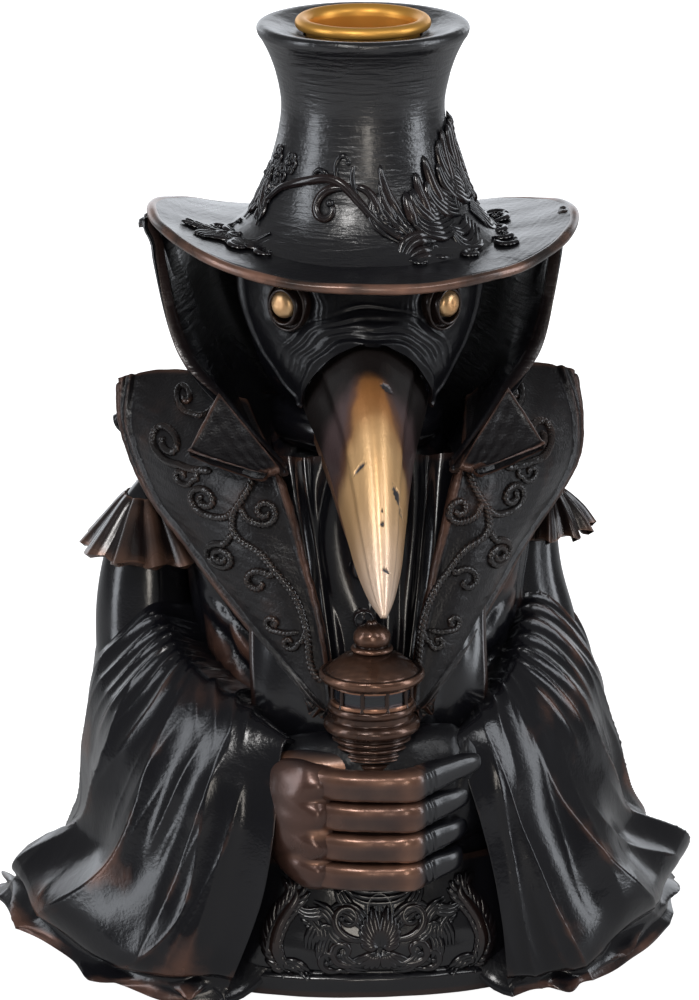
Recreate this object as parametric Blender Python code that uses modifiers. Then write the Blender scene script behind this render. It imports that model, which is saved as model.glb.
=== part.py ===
"""Plague doctor bust that holds a candle, as the castings and fittings it is glued together from.

Frame: +Z up, the figure faces -Y, and the origin is the middle of the felt's underside.
"left" and "right" are the figure's own, so its right side is at -X.
Shapes are written in millimetres. The helpers below turn them into Blender's metres.
"""

import math

import bmesh
import bpy
import numpy as np

MM = 0.001
GAP = 0.35  # glue and running gap between neighbouring pieces

# Driving dimensions, in millimetres.
CUP_TOP = 204.5  # lip of the candle cup, the bust's highest point
CANDLE_R = 11.2  # a 22 mm dinner candle with a little room
CROWN_TOP = 201.6
CROWN_X = 1.4  # the hat sits this far to one side
BRIM_Z = 156.0  # middle of the brim, before its edge is curled
BRIM_R = (45.5, 43.0)  # across and fore-and-aft
BRIM_LIFT = 5.6  # how far the brim's edge rises at the sides and falls in front
BRIM_T = 2.6
EDGING_R = 1.3
FELT_T = 1.0
TORSO_BASE = FELT_T + GAP
NECK_Z = 115.0
SPIGOT_R = 8.0
LANTERN_X, LANTERN_Y = -0.5, -50.0
LANTERN_R = 11.5  # clear of its widest ring
EYE = (17.0, -26.0, 146.0)
EYE_TURN = math.radians(27)  # each eye looks this far outwards
CUP_TRAVEL = 30.0

MATERIALS = {  # colour, roughness, metallic
    "black_resin": ((0.020, 0.020, 0.024), 0.32, 0.0),
    "bronze_resin": ((0.130, 0.062, 0.038), 0.34, 0.6),
    "gold_resin": ((0.700, 0.400, 0.160), 0.30, 0.8),
    "candle_brass": ((0.830, 0.500, 0.130), 0.28, 1.0),
    "lantern_pane": ((0.015, 0.018, 0.024), 0.10, 0.0),
    "base_felt": ((0.020, 0.020, 0.022), 0.95, 0.0),
    "base_board": ((0.150, 0.105, 0.070), 0.85, 0.0),
}


# ---------------------------------------------------------------- helpers
def clear_scene():
    for obj in list(bpy.data.objects):
        bpy.data.objects.remove(obj)


def add_collection(name):
    made = bpy.data.collections.new(name)
    bpy.context.scene.collection.children.link(made)
    return made


def make_materials():
    for name, (colour, roughness, metallic) in MATERIALS.items():
        material = bpy.data.materials.new(name)
        material.use_nodes = True
        shader = material.node_tree.nodes["Principled BSDF"]
        shader.inputs["Base Color"].default_value = (*colour, 1.0)
        shader.inputs["Roughness"].default_value = roughness
        shader.inputs["Metallic"].default_value = metallic


def add_object(name, mesh, material, place=(0, 0, 0)):
    obj = bpy.data.objects.new(name, mesh)
    obj.location = [c * MM for c in place]
    bust.objects.link(obj)
    mesh.materials.clear()
    mesh.materials.append(bpy.data.materials[material])
    return obj


def mesh_from(name, points, faces):
    mesh = bpy.data.meshes.new(name)
    mesh.from_pydata((np.asarray(points, float).reshape(-1, 3) * MM).tolist(), [], faces)
    return mesh


def smooth(mesh, angle=40):
    mesh.shade_smooth()
    mesh.set_sharp_from_angle(angle=math.radians(angle))


def through(points, count):
    """count points evenly spaced in parameter along the Catmull-Rom curve through points (along axis 0)."""
    points = np.asarray(points, float)
    last = len(points) - 1
    padded = np.concatenate([[2 * points[0] - points[1]], points, [2 * points[-1] - points[-2]]])
    t = np.linspace(0, last, count)
    i = np.minimum(t.astype(int), last - 1)
    f = (t - i).reshape((-1,) + (1,) * (points.ndim - 1))
    a, b, c, d = (padded[i + k] for k in range(4))
    return b + f / 2 * (c - a + f * (2 * a - 5 * b + 4 * c - d + f * (3 * (b - c) + d - a)))


def patch(net, rows, columns):
    """A smooth grid of rows x columns points through a coarse net of points."""
    along = through(net, rows)
    return through(along.swapaxes(0, 1), columns).swapaxes(0, 1)


def mirrored(points):
    return np.asarray(points, float) * [-1, 1, 1]


def normals(grid):
    """Unit normals of a grid of points."""
    across, along = np.gradient(grid, axis=1), np.gradient(grid, axis=0)
    out = np.cross(along, across)
    return out / np.linalg.norm(out, axis=-1, keepdims=True)


def both_halves(net):
    """A net whose first column is at x = 0, with its mirror image before it."""
    net = np.asarray(net, float)
    return np.concatenate([mirrored(net[:, :0:-1]), net], axis=1)


def oval(half_x, half_y, y, z, x=0.0, sides=24, power=2.3):
    """One level ring of a superellipse."""
    a = np.linspace(0, 2 * math.pi, sides, endpoint=False)
    c, s = np.cos(a), np.sin(a)
    return np.stack(
        [
            x + half_x * np.sign(c) * np.abs(c) ** (2 / power),
            y + half_y * np.sign(s) * np.abs(s) ** (2 / power),
            np.full(sides, z),
        ],
        axis=1,
    )


def block(name, rings, material, place=(0, 0, 0)):
    """A closed loft: rings of points, each joined to the next, with a face over each end."""
    rings = np.asarray(rings, float)
    count, sides = rings.shape[:2]
    index = np.arange(count * sides).reshape(count, sides)
    turned_on = np.roll(index, -1, axis=1)
    quads = np.stack([index[:-1], turned_on[:-1], turned_on[1:], index[1:]], axis=-1)
    faces = quads.reshape(-1, 4).tolist() + [index[0, ::-1].tolist(), index[-1].tolist()]
    mesh = mesh_from(name, rings, faces)
    facing_out(mesh)
    smooth(mesh)
    return add_object(name, mesh, material, place)


def facing_out(mesh):
    shape = bmesh.new()
    shape.from_mesh(mesh)
    bmesh.ops.recalc_face_normals(shape, faces=shape.faces)
    shape.to_mesh(mesh)
    shape.free()


def sheet(name, grid, thickness, material, offset=0.0, closed=False):
    """A grid of points given a wall by Solidify: offset -1 puts it behind the faces, 1 in front.

    closed joins each row's last point to its first.
    """
    rows, columns = np.asarray(grid).shape[:2]
    index = np.arange(rows * columns).reshape(rows, columns)
    if closed:
        index = np.concatenate([index, index[:, :1]], axis=1)
    faces = np.stack([index[:-1, :-1], index[:-1, 1:], index[1:, 1:], index[1:, :-1]], axis=-1)
    mesh = mesh_from(name, grid, faces.reshape(-1, 4).tolist())
    obj = add_object(name, mesh, material)
    wall = obj.modifiers.new("wall", "SOLIDIFY")
    wall.thickness = thickness * MM
    wall.offset = offset
    return solid(obj)


def turned(name, profile, material, place=(0, 0, 0), steps=32):
    """A turned piece: (radius, height) points from the top down, spun round the piece's own Z."""
    points = [(r, 0, z) for r, z in profile]
    mesh = bpy.data.meshes.new(name)
    edges = [(i, i + 1) for i in range(len(points) - 1)]
    if profile[0][0] > 0:
        edges.append((len(points) - 1, 0))
    mesh.from_pydata([[c * MM for c in p] for p in points], edges, [])
    obj = add_object(name, mesh, material, place)
    screw = obj.modifiers.new("spin", "SCREW")
    screw.steps = screw.render_steps = steps
    screw.use_merge_vertices = True
    screw.merge_threshold = 0.00001
    return solid(obj)


def tube(name, points, radii, material, sides=10, closed=False, place=(0, 0, 0)):
    """A round bar along points: a poly curve with a bevel, made a mesh with welded caps."""
    curve = bpy.data.curves.new(name, "CURVE")
    curve.dimensions = "3D"
    curve.bevel_depth = MM
    curve.bevel_resolution = sides // 2 - 2
    curve.use_fill_caps = True
    spline = curve.splines.new("POLY")
    spline.points.add(len(points) - 1)
    spline.use_cyclic_u = closed
    for point, at, radius in zip(spline.points, points, np.broadcast_to(radii, len(points))):
        point.co = (*[c * MM for c in at], 1.0)
        point.radius = radius
    source = bpy.data.objects.new(name, curve)
    bust.objects.link(source)
    bpy.context.view_layer.update()
    graph = bpy.context.evaluated_depsgraph_get()
    mesh = bpy.data.meshes.new_from_object(source.evaluated_get(graph))
    bpy.data.objects.remove(source)
    shape = bmesh.new()
    shape.from_mesh(mesh)
    bmesh.ops.remove_doubles(shape, verts=shape.verts, dist=0.00001)
    bmesh.ops.recalc_face_normals(shape, faces=shape.faces)
    shape.to_mesh(mesh)
    shape.free()
    smooth(mesh)
    return add_object(name, mesh, material, place)


def islands(shape):
    """The separate bodies of a bmesh, as lists of vertices."""
    left, found = set(shape.verts), []
    while left:
        body, front = [], [left.pop()]
        while front:
            vert = front.pop()
            body.append(vert)
            for edge in vert.link_edges:
                other = edge.other_vert(vert)
                if other in left:
                    left.remove(other)
                    front.append(other)
        found.append(body)
    return found


def span(body):
    """Diagonal of a body's bounding box."""
    at = np.array([v.co for v in body])
    return float(np.linalg.norm(np.ptp(at, axis=0)))


def solid(obj):
    """Applies obj's modifiers, closes hairline seams and drops the crumbs that a cut leaves behind."""
    bpy.context.view_layer.update()
    graph = bpy.context.evaluated_depsgraph_get()
    mesh = bpy.data.meshes.new_from_object(obj.evaluated_get(graph))
    obj.modifiers.clear()
    old, obj.data = obj.data, mesh
    bpy.data.meshes.remove(old)
    shape = bmesh.new()
    shape.from_mesh(mesh)
    bmesh.ops.remove_doubles(shape, verts=shape.verts, dist=0.00002)
    bmesh.ops.dissolve_degenerate(shape, edges=shape.edges, dist=0.00002)
    bodies = sorted(islands(shape), key=span)
    for crumb in bodies[:-1]:
        bmesh.ops.delete(shape, geom=crumb, context="VERTS")
    bmesh.ops.triangulate(shape, faces=shape.faces)
    shape.to_mesh(mesh)
    shape.free()
    smooth(mesh)
    return obj


def as_cutter(obj):
    """Makes obj a helper that only cuts."""
    bust.objects.unlink(obj)
    cutters.objects.link(obj)
    obj.hide_render = True
    obj.display_type = "WIRE"
    return obj


def grown(obj):
    """A hidden copy of obj whose skin stands out by the gap, to cut a neighbour with."""
    copy = bpy.data.objects.new(obj.name + "_grown", obj.data.copy())
    copy.matrix_world = obj.matrix_world
    bust.objects.link(copy)
    swell = copy.modifiers.new("swell", "DISPLACE")
    swell.strength = GAP * MM
    swell.mid_level = 0.0
    return as_cutter(copy)


def boolean(obj, other, operation):
    cut = obj.modifiers.new(other.name, "BOOLEAN")
    cut.operation = operation
    cut.use_self = True
    cut.object = other
    return solid(obj)


def trimmed(obj, *neighbours):
    """Cuts obj back from each neighbour, leaving the gap."""
    bpy.context.view_layer.update()
    for other in neighbours:
        boolean(obj, grown(other), "DIFFERENCE")
    return obj


def bored(obj, *helpers):
    for helper in helpers:
        boolean(obj, as_cutter(helper), "DIFFERENCE")
    return obj


def joined(obj, *others):
    """Fuses others into obj."""
    for other in others:
        boolean(obj, as_cutter(other), "UNION")
    return obj


def named_pair(name, side):
    return f"{name}_{'right' if side < 0 else 'left'}"


# ---------------------------------------------------------------- body
def torso_rings(inset=0.0, top=NECK_Z):
    """Level sections of the robe's body, optionally inset for the hollow."""
    levels = [  # half width, half depth, middle y, height
        (45, 40, 2, TORSO_BASE),
        (44, 39, 2, 28),
        (39, 35, 2, 50),
        (36, 32, 1, 66),
        (37, 31, 1, 80),
        (38, 28, 2, 92),
        (34, 24, 3, 101),
        (25, 19, 3, 109),
        (17, 15, 1, NECK_Z),
    ]
    return [oval(a - inset, b - inset, y, z) for a, b, y, z in levels if z <= top]


def make_torso():
    """The main casting, hollow from below, with a socket for the head's spigot."""
    body = block("torso_casting", torso_rings(), "black_resin")
    hollow_rings = torso_rings(inset=6, top=80)
    hollow_rings[0][:, 2] = 0.0
    hollow = block("torso_hollow", hollow_rings, "black_resin")
    socket = turned(
        "neck_socket",
        [(0, NECK_Z + 5), (SPIGOT_R + GAP, NECK_Z + 5), (SPIGOT_R + GAP, NECK_Z - 9), (0, NECK_Z - 9)],
        "black_resin",
    )
    return bored(body, hollow, socket)


def make_base():
    """The board that closes the hollow, and the felt under it."""
    board = [oval(45 - 6 - GAP, 40 - 6 - GAP, 2, z) for z in (TORSO_BASE, TORSO_BASE + 2.5)]
    block("base_board", board, "base_board")
    felt = [oval(44, 39, 2, z) for z in (0.0, FELT_T)]
    return block("felt_pad", felt, "base_felt")


def robe_front_net():
    """The skirt's front between the sleeves, bulging over the knees, from its top edge to the ground."""
    half = [
        [(0, -47, 30), (14, -46.5, 30), (26, -43, 31), (31, -38, 32)],
        [(0, -50.5, 21), (14, -49.5, 21), (27, -45, 21), (33, -38, 21)],
        [(0, -53, 11), (15, -51.5, 11), (29, -46.5, 11), (35, -38, 11)],
        [(0, -52, TORSO_BASE), (15, -50.5, TORSO_BASE), (29, -45, TORSO_BASE), (35, -37, TORSO_BASE)],
    ]
    return both_halves(half)


def make_robe_front(torso):
    front = patch(robe_front_net(), 7, 13)
    back = front * [1, 0, 1] + [0, -30, 0]
    rings = np.concatenate([front, back[:, ::-1]], axis=1)
    return trimmed(block("robe_front", rings, "black_resin"), torso)


def make_robe_relief(panel, *neighbours):
    """The raised ornament cast onto the skirt's front."""
    raised = patch(robe_front_net(), 9, 13)[2:8, 2:11] + [0, -0.5, 0]
    return trimmed(sheet("robe_relief", raised, 2.6, "black_resin"), panel, *neighbours)


def make_waistcoat(torso):
    """The pleated front between the lapels, with ball buttons down the middle."""
    half = [
        [(0, -30, 113), (8, -29, 113), (15, -26, 112), (21, -21, 111)],
        [(0, -36, 95), (8, -35, 95), (16, -32, 95), (24, -26, 95)],
        [(0, -40, 78), (8, -39, 78), (16, -36, 78), (24, -31, 78)],
        [(0, -43, 60), (8, -42, 60), (16, -39, 60), (24, -35, 60)],
        [(0, -42, 46), (8, -41, 46), (16, -38, 46), (24, -34, 46)],
    ]
    front = sheet("waistcoat", patch(both_halves(half), 9, 9), 5, "black_resin", 1.0)
    trimmed(front, torso)
    bored(front, lantern_clearance())
    for number, (y, z) in enumerate([(-37.6, 92.5), (-40.2, 82.0)], start=1):
        bpy.ops.mesh.primitive_uv_sphere_add(segments=12, ring_count=8, radius=2.3 * MM)
        ball = bpy.context.object
        ball.name = f"waistcoat_button_{number}"
        for group in ball.users_collection:
            group.objects.unlink(ball)
        bust.objects.link(ball)
        ball.location = (-1.5 * MM, y * MM, z * MM)
        ball.data.materials.append(bpy.data.materials["black_resin"])
        ball.data.shade_smooth()
        trimmed(ball, front)
    return front


# ---------------------------------------------------------------- arms
def sleeve_net(side):
    """Stations from the cuff round to the back; each runs from the crease at the body, over the arm, down to the hem."""
    net = [
        [(13, -44, 52), (18, -50, 58.5), (21, -54, 48), (23.5, -56, 36), (26, -57, 22), (29, -57, 9), (31.5, -56, 1)],
        [(23, -33, 59), (28, -42, 63), (35, -48, 51), (37.5, -50, 37), (40, -52, 22), (44, -52.5, 9), (49, -51, 1)],
        [(32, -22, 67), (40, -28, 70), (49, -34, 56), (52.5, -36, 40), (55, -37.5, 26), (61, -38, 12), (68, -33, 1)],
        [(36, -9, 78), (47, -10, 80), (56.5, -12, 62), (59.5, -12, 42), (62, -12, 28), (71, -9, 17), (78, -3, 6)],
        [(38, 4, 92), (50, 4, 91), (57.5, 6, 71), (59.5, 7, 48), (61, 8, 31), (70, 11, 18), (76, 14, 5)],
        [(34, 19, 92), (40, 22, 85), (44, 26, 67), (45, 28, 48), (46, 30, 31), (49, 32, 15), (52, 34, 1.2)],
    ]
    return np.asarray(net, float) * [side, 1, 1]


def make_sleeve(side, *neighbours):
    """The wide sleeve that falls from the forearm to the ground, cast in one with the upper arm."""
    skin = patch(sleeve_net(side), 11, 12)
    foot = skin[:, -1:] * [0.6, 0.6, 0] + [0, 0, 1.0]
    top = skin[:, :1] * [0.75, 0.75, 0.9]
    rings = np.concatenate([skin, foot, top], axis=1)
    return trimmed(block(named_pair("sleeve", side), rings, "black_resin"), *neighbours)


def make_frill(side, *neighbours):
    """The pleated ruffle round the head of the sleeve."""
    a = np.radians(np.linspace(-130, 75, 13))
    out = np.stack([np.cos(a) * side, np.sin(a) * 1.15, np.zeros_like(a)], axis=1)
    rows = []
    for reach, z in [(5.0, 99.0), (8.5, 93.0), (12.5, 86.5)]:
        centre = np.array([46.0 * side, 4.0, z])
        rows.append(centre + out * reach)
    ruffle = sheet(named_pair("shoulder_frill", side), rows, 2.4, "bronze_resin")
    return trimmed(ruffle, *neighbours)


# ---------------------------------------------------------------- hands and lantern
def lantern_clearance():
    """The room the lantern takes, to cut from what stands behind it."""
    profile = [(0, 90), (LANTERN_R, 90), (LANTERN_R, 54), (0, 54)]
    return turned("lantern_clearance", profile, "black_resin", (LANTERN_X, LANTERN_Y, 0))


def make_lantern():
    """The lantern on its staff: turned pieces stacked with a glue gap, and a cage with eight windows."""
    place = (LANTERN_X, LANTERN_Y, 0)
    stem = [(0, 54.6), (7.2, 54.6), (7.2, 33), (0, 33)]
    stem = turned("lantern_stem", stem, "bronze_resin", place, 16)
    base = [
        (0, 65.8), (9.4, 65.8), (9.8, 65.2), (9.4, 64.4), (8.7, 63.2), (9.9, 62), (10.2, 61),
        (9.8, 60), (8.0, 59), (8.4, 57.6), (7.6, 56.4), (7.6, 55), (0, 55),
    ]
    turned("lantern_base", base, "bronze_resin", place, 20)
    turned("lantern_glass", [(0, 70.8), (7.9, 70.8), (7.9, 66.2), (0, 66.2)], "lantern_pane", place, 16)
    cage = [(9.2, 70.8), (9.2, 66.2), (8.2, 66.2), (8.2, 70.8)]
    cage = turned("lantern_cage", cage, "bronze_resin", place, 24)
    bpy.ops.mesh.primitive_cube_add(size=1)
    window = bpy.context.object
    window.name = "lantern_window"
    window.dimensions = (30 * MM, 4.6 * MM, 3.4 * MM)
    bpy.ops.object.transform_apply(location=False, rotation=False, scale=True)
    window.location = (LANTERN_X * MM, LANTERN_Y * MM, 68.5 * MM)
    for group in window.users_collection:
        group.objects.unlink(window)
    bust.objects.link(window)
    bars = []
    for quarter in range(4):
        bar = bpy.data.objects.new(f"lantern_window_{quarter}", window.data)
        bar.location = window.location
        bar.rotation_euler.z = math.radians(45 * quarter + 22.5)
        bust.objects.link(bar)
        bars.append(bar)
    bpy.data.objects.remove(window)
    bored(cage, *bars)
    roof = [(0, 78.2), (3, 78), (6.2, 76.2), (8.6, 73.9), (10.8, 73.4), (11, 72.2), (10.4, 71.2), (0, 71.2)]
    turned("lantern_roof", roof, "bronze_resin", place, 24)
    finial = [(0, 84.4), (2.3, 83.9), (3.7, 82.2), (3.9, 80.8), (3.3, 79.4), (2.2, 78.6), (0, 78.6)]
    turned("lantern_finial", finial, "bronze_resin", place, 14)
    return stem


def hand_ring(x, y, z, half_y, half_z, sides=12):
    a = np.linspace(0, 2 * math.pi, sides, endpoint=False)
    return np.stack([np.full(sides, x), y + half_y * np.cos(a), z + half_z * np.sin(a)], axis=1)


def make_gloves(stem, torso, robe_front):
    """The right hand closes over the left, both round the lantern's staff."""
    back_of_hand = [
        hand_ring(-26, -45, 45, 4.5, 8),
        hand_ring(-20, -51, 43, 5.5, 12),
        hand_ring(-13, -55, 41, 5.5, 14),
        hand_ring(-8, -57, 41, 3.8, 13),
    ]
    right = block("glove_right", back_of_hand, "bronze_resin")
    fingers = []
    for number, z in enumerate([51, 44.2, 37.4, 30.8]):
        tuck = 2.0 * number
        route = [
            (-12, -57.5, z), (-5, -60.4, z), (7, -61.5, z), (10.5, -60, z + 0.4),
            (16, -55.5, z + 2.4), (21 - tuck, -50.8, z + 4.2),
        ]
        fingers.append(tube(f"finger_{number}", route, [3.3, 3.5, 3.4, 3.2, 2.7, 2.0], "bronze_resin", 8))
    joined(right, *fingers)
    trimmed(right, stem, robe_front, torso)
    mitt = [
        hand_ring(25, -43, 46, 5, 8),
        hand_ring(17, -48, 44, 7, 10),
        hand_ring(5, -50, 42, 9, 12),
        hand_ring(-6, -50, 42, 9, 12),
        hand_ring(-15, -47, 43, 6, 9),
    ]
    left = trimmed(block("glove_left", mitt, "black_resin"), stem, right, robe_front, torso)
    return right, left


# ---------------------------------------------------------------- collars
def lapel_net(side):
    """Rows from the shoulder down to the point; columns from the inner edge to the outer."""
    net = [
        [(24, -4, 120.5), (33, 3, 125), (42, 7, 125.5), (51, 6, 124)],
        [(20, -34, 114), (31, -27, 114), (42, -14, 113.5), (51, 2, 114)],
        [(15, -40, 97), (25.5, -36.5, 97.5), (37, -25, 100), (47, -6, 103)],
        [(11, -44, 80), (18, -42, 82), (27, -34.5, 86), (36, -21, 89.5)],
        [(8.5, -46.5, 63), (9.6, -46.5, 63.2), (10.8, -46.2, 63.6), (12, -45.8, 64)],
    ]
    return np.asarray(net, float) * [side, 1, 1]


def make_lapel(side, *neighbours):
    """One wing of the wide collar, its corded scroll and the welt along its outer edge."""
    skin = patch(lapel_net(side), 11, 6)
    lapel = trimmed(sheet(named_pair("lapel", side), skin, 2.4, "black_resin"), *neighbours)
    bored(lapel, lantern_clearance())
    fine = patch(lapel_net(side), 41, 25)
    out = normals(fine) * side
    welt = (fine + 1.0 * out)[:-1:3, -1]
    piping = tube(named_pair("lapel_piping", side), welt, 1.8, "black_resin", 6)
    trimmed(piping, lapel, *neighbours)
    t = np.linspace(0, 1, 15)
    row = (7 + 27 * t).astype(int)
    column = np.rint(12 + 5 * np.sin(7.5 * t) * (1 - t)).astype(int)
    vine = (fine + 1.7 * out)[row, column]
    scroll = tube(named_pair("lapel_scroll", side), vine, 1.1, "black_resin", 6)
    trimmed(scroll, lapel, piping)
    return lapel, piping


def make_mantle(*neighbours):
    """The cape that carries the lapels round the back of the shoulders."""
    half = [
        [(0, 22, 117), (13, 19, 117.5), (22, 9, 119), (26, 2, 121)],
        [(0, 33, 110), (18, 29, 112), (33, 17, 117), (39, 8, 123)],
        [(0, 39, 98), (22, 35, 101), (40, 24, 108), (50, 9, 121)],
        [(0, 43, 84), (24, 39, 88), (44, 28, 98), (52, 11, 113)],
    ]
    return trimmed(sheet("mantle_back", patch(both_halves(half), 6, 15), 2.4, "black_resin"), *neighbours)


def make_stand_collar(*neighbours):
    """The tall flared collar, open in front, as one sheet from throat to throat round the back."""
    half = [
        [(0, 20, 112), (0, 27, 122), (0, 34, 134), (0, 38, 146)],
        [(14, 16, 112), (21, 21, 122), (28, 26, 136), (32, 30, 150)],
        [(20, 0, 112), (28, 3, 122), (36, 5, 138), (42.5, 6, 155)],
        [(21, -18, 112), (29, -11, 122), (38, -3, 137), (45, 3, 158.5)],
        [(19, -36, 113), (29.5, -21.5, 122.5), (39.5, -8.5, 134), (45, -0.5, 157)],
    ]
    half = np.asarray(half, float)
    around = np.concatenate([mirrored(half[:0:-1]), half], axis=0)
    return trimmed(sheet("stand_collar", patch(around, 21, 6), 2.2, "black_resin"), *neighbours)


def make_collar_flap(side, *neighbours):
    """The turned-down point of the shirt collar, lying on the lapel."""
    net = [
        [(31, -21, 127), (27, -27, 123), (23, -33, 119), (19.5, -39, 115.5)],
        [(34, -25, 122.5), (30, -30, 120), (26, -35, 117.5), (22, -39.5, 115)],
        [(38, -29.5, 116.5), (33, -33.5, 115.8), (28, -37, 115), (23, -40.5, 114.3)],
    ]
    skin = patch(np.asarray(net, float) * [side, 1, 1], 5, 6)
    return trimmed(sheet(named_pair("collar_flap", side), skin, 1.8, "black_resin"), *neighbours)


# ---------------------------------------------------------------- head
def make_head(torso):
    """The hooded head, with a spigot for the neck and a socket for the hat."""
    levels = [
        (13, 13, 0, NECK_Z + GAP),
        (15, 16, -2, 119),
        (20, 22, -4, 127),
        (23.5, 24, -3, 137),
        (24, 24, -2, 147),
        (22, 22, -1, 153),
    ]
    head = block("head", [oval(*level, sides=20, power=2.0) for level in levels], "black_resin")
    spigot = turned(
        "head_spigot",
        [(0, NECK_Z + 4), (SPIGOT_R, NECK_Z + 4), (SPIGOT_R, NECK_Z - 8), (0, NECK_Z - 8)],
        "black_resin",
        steps=20,
    )
    joined(head, spigot)
    socket = turned(
        "hat_socket",
        [(0, 160), (SPIGOT_R + GAP, 160), (SPIGOT_R + GAP, 143), (0, 143)],
        "black_resin",
        (CROWN_X, 0, 0),
        20,
    )
    return bored(head, socket)


def make_neck_cloth(*neighbours):
    """The scarf wound round the neck under the mask."""
    a = np.linspace(0, 2 * math.pi, 18, endpoint=False)
    b = np.linspace(0, 2 * math.pi, 7, endpoint=False)
    around, section = np.meshgrid(a, b, indexing="ij")
    reach = 14.5 + 4.6 * np.cos(section)
    points = np.stack(
        [reach * np.cos(around), -4 + 1.2 * reach * np.sin(around), 117.5 + 4.4 * np.sin(section)], axis=-1
    )
    ring = np.concatenate([points, points[:1]])
    index = np.arange(18 * 7).reshape(18, 7)
    after = np.roll(index, -1, axis=0)
    faces = np.stack([index, after, np.roll(after, -1, axis=1), np.roll(index, -1, axis=1)], axis=-1)
    mesh = mesh_from("neck_cloth", ring[:-1], faces.reshape(-1, 4).tolist())
    facing_out(mesh)
    smooth(mesh)
    return trimmed(add_object("neck_cloth", mesh, "black_resin"), *neighbours)


def make_mask(head):
    """The leather face: a shield over the front of the head, wide under the brim and narrow at the beak."""
    half = [
        [(0, -29, 153), (10, -28, 153), (19, -22, 152), (26, -11, 151)],
        [(0, -31.5, 145), (10, -31, 145), (18.5, -25.5, 144), (25.5, -13, 143)],
        [(0, -34.5, 138), (9, -33.5, 136.5), (17, -27, 134), (22, -17, 134.5)],
        [(0, -37.5, 134.5), (7.5, -36.5, 132), (12.3, -32, 128), (13.8, -27.5, 126)],
    ]
    return trimmed(sheet("mask", patch(both_halves(half), 7, 11), 4.2, "black_resin", 1.0), head)


def beak_ring(y_top, z_top, y_low, z_low, half_width, sides=16):
    """A beak section: flat between the lower edges, steep sides and a broad rounded ridge."""
    a = np.linspace(0, math.pi, sides - 4)
    up = np.sin(a) ** 0.8
    across = np.cos(a) * (1 - 0.18 * np.sin(a))
    arch = np.stack(
        [half_width * across, y_low + (y_top - y_low) * up, z_low + (z_top - z_low) * up], axis=1
    )
    share = np.linspace(0, 1, 6)[1:-1]
    floor = arch[-1] + (arch[0] - arch[-1]) * share[:, None]
    return np.concatenate([arch, floor])


def make_beak(mask, head):
    """The long down-curved bill, in two parts: the big upper one and the thin lower one under it."""
    stations = [
        (-35, 136, -25, 124, 12.4),
        (-47, 131.5, -39, 115.5, 9.4),
        (-58, 122.5, -51.5, 106, 7.0),
        (-67, 110.5, -61.5, 99, 4.8),
        (-73, 99.5, -69, 94.5, 2.7),
        (-75.6, 93.2, -74.6, 92.2, 0.6),
    ]
    rings = through([beak_ring(*station) for station in stations], 11)
    upper = trimmed(block("beak_upper", rings, "gold_resin"), mask, head)
    lower_stations = [
        (-27, 124, -20, 118, 12.9),
        (-39, 115.5, -35, 109.5, 9.7),
        (-51.5, 106, -48, 101.5, 6.8),
        (-60, 99.5, -58, 97, 3.6),
    ]
    rings = through([beak_ring(*station) for station in lower_stations], 8)
    lower = trimmed(block("beak_lower", rings, "bronze_resin"), upper, mask, head)
    return upper, lower


def make_eye(side, mask, head):
    """A goggle on the mask: a stepped bezel with a domed lens, both turned round the eye's own axis."""
    rings = [(4.0, 3.2), (4.6, 2.4), (4.6, 0.6), (5.0, 0.2), (5.0, -3), (2.9, -3), (2.9, 2.0), (3.3, 3.2)]
    bezel = turned(named_pair("eye_bezel", side), rings, "bronze_resin", steps=18)
    dome = [(0, 2.9), (1.4, 2.6), (2.3, 1.9), (2.5, 1.2), (2.5, -3), (0, -3)]
    lens = turned(named_pair("eye_lens", side), dome, "gold_resin", steps=12)
    for obj in (bezel, lens):
        obj.location = (EYE[0] * side * MM, EYE[1] * MM, EYE[2] * MM)
        obj.rotation_euler = (math.radians(90), 0, EYE_TURN * side)
    return trimmed(bezel, head), trimmed(lens, head)


# ---------------------------------------------------------------- hat
def crown_radius(z):
    """Radius of the crown's outside at height z: waisted, flaring to the brim and to the lip."""
    heights = [157.0, 160.0, 164.0, 170.0, 177.0, 185.0, 191.0, 196.0, 200.0]
    radii = [31.0, 26.8, 23.6, 20.9, 18.8, 17.6, 18.4, 20.2, 22.4]
    return np.interp(z, heights, radii)


def brim_height(x, y):
    """Middle surface of the brim: a saddle, curled up at the sides and down in front and behind."""
    u, v = x / BRIM_R[0], y / BRIM_R[1]
    reach = u * u + v * v
    return BRIM_Z + BRIM_LIFT * (u * u - v * v) * reach


def make_brim():
    """The brim, a disc with a hole for the spigot, and the binding round its edge."""
    shares = np.array([0.19, 0.55, 0.8, 1.0])
    a = np.linspace(0, 2 * math.pi, 32, endpoint=False)
    share, angle = np.meshgrid(shares, a, indexing="ij")
    x, y = share * BRIM_R[0] * np.cos(angle), share * BRIM_R[1] * np.sin(angle)
    grid = np.stack([x + CROWN_X, y, brim_height(x, y)], axis=-1)
    brim = sheet("hat_brim", grid, BRIM_T, "black_resin", closed=True)
    binding = tube("brim_binding", grid[-1], EDGING_R, "bronze_resin", 6, closed=True)
    trimmed(brim, binding)
    return brim, binding


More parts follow.
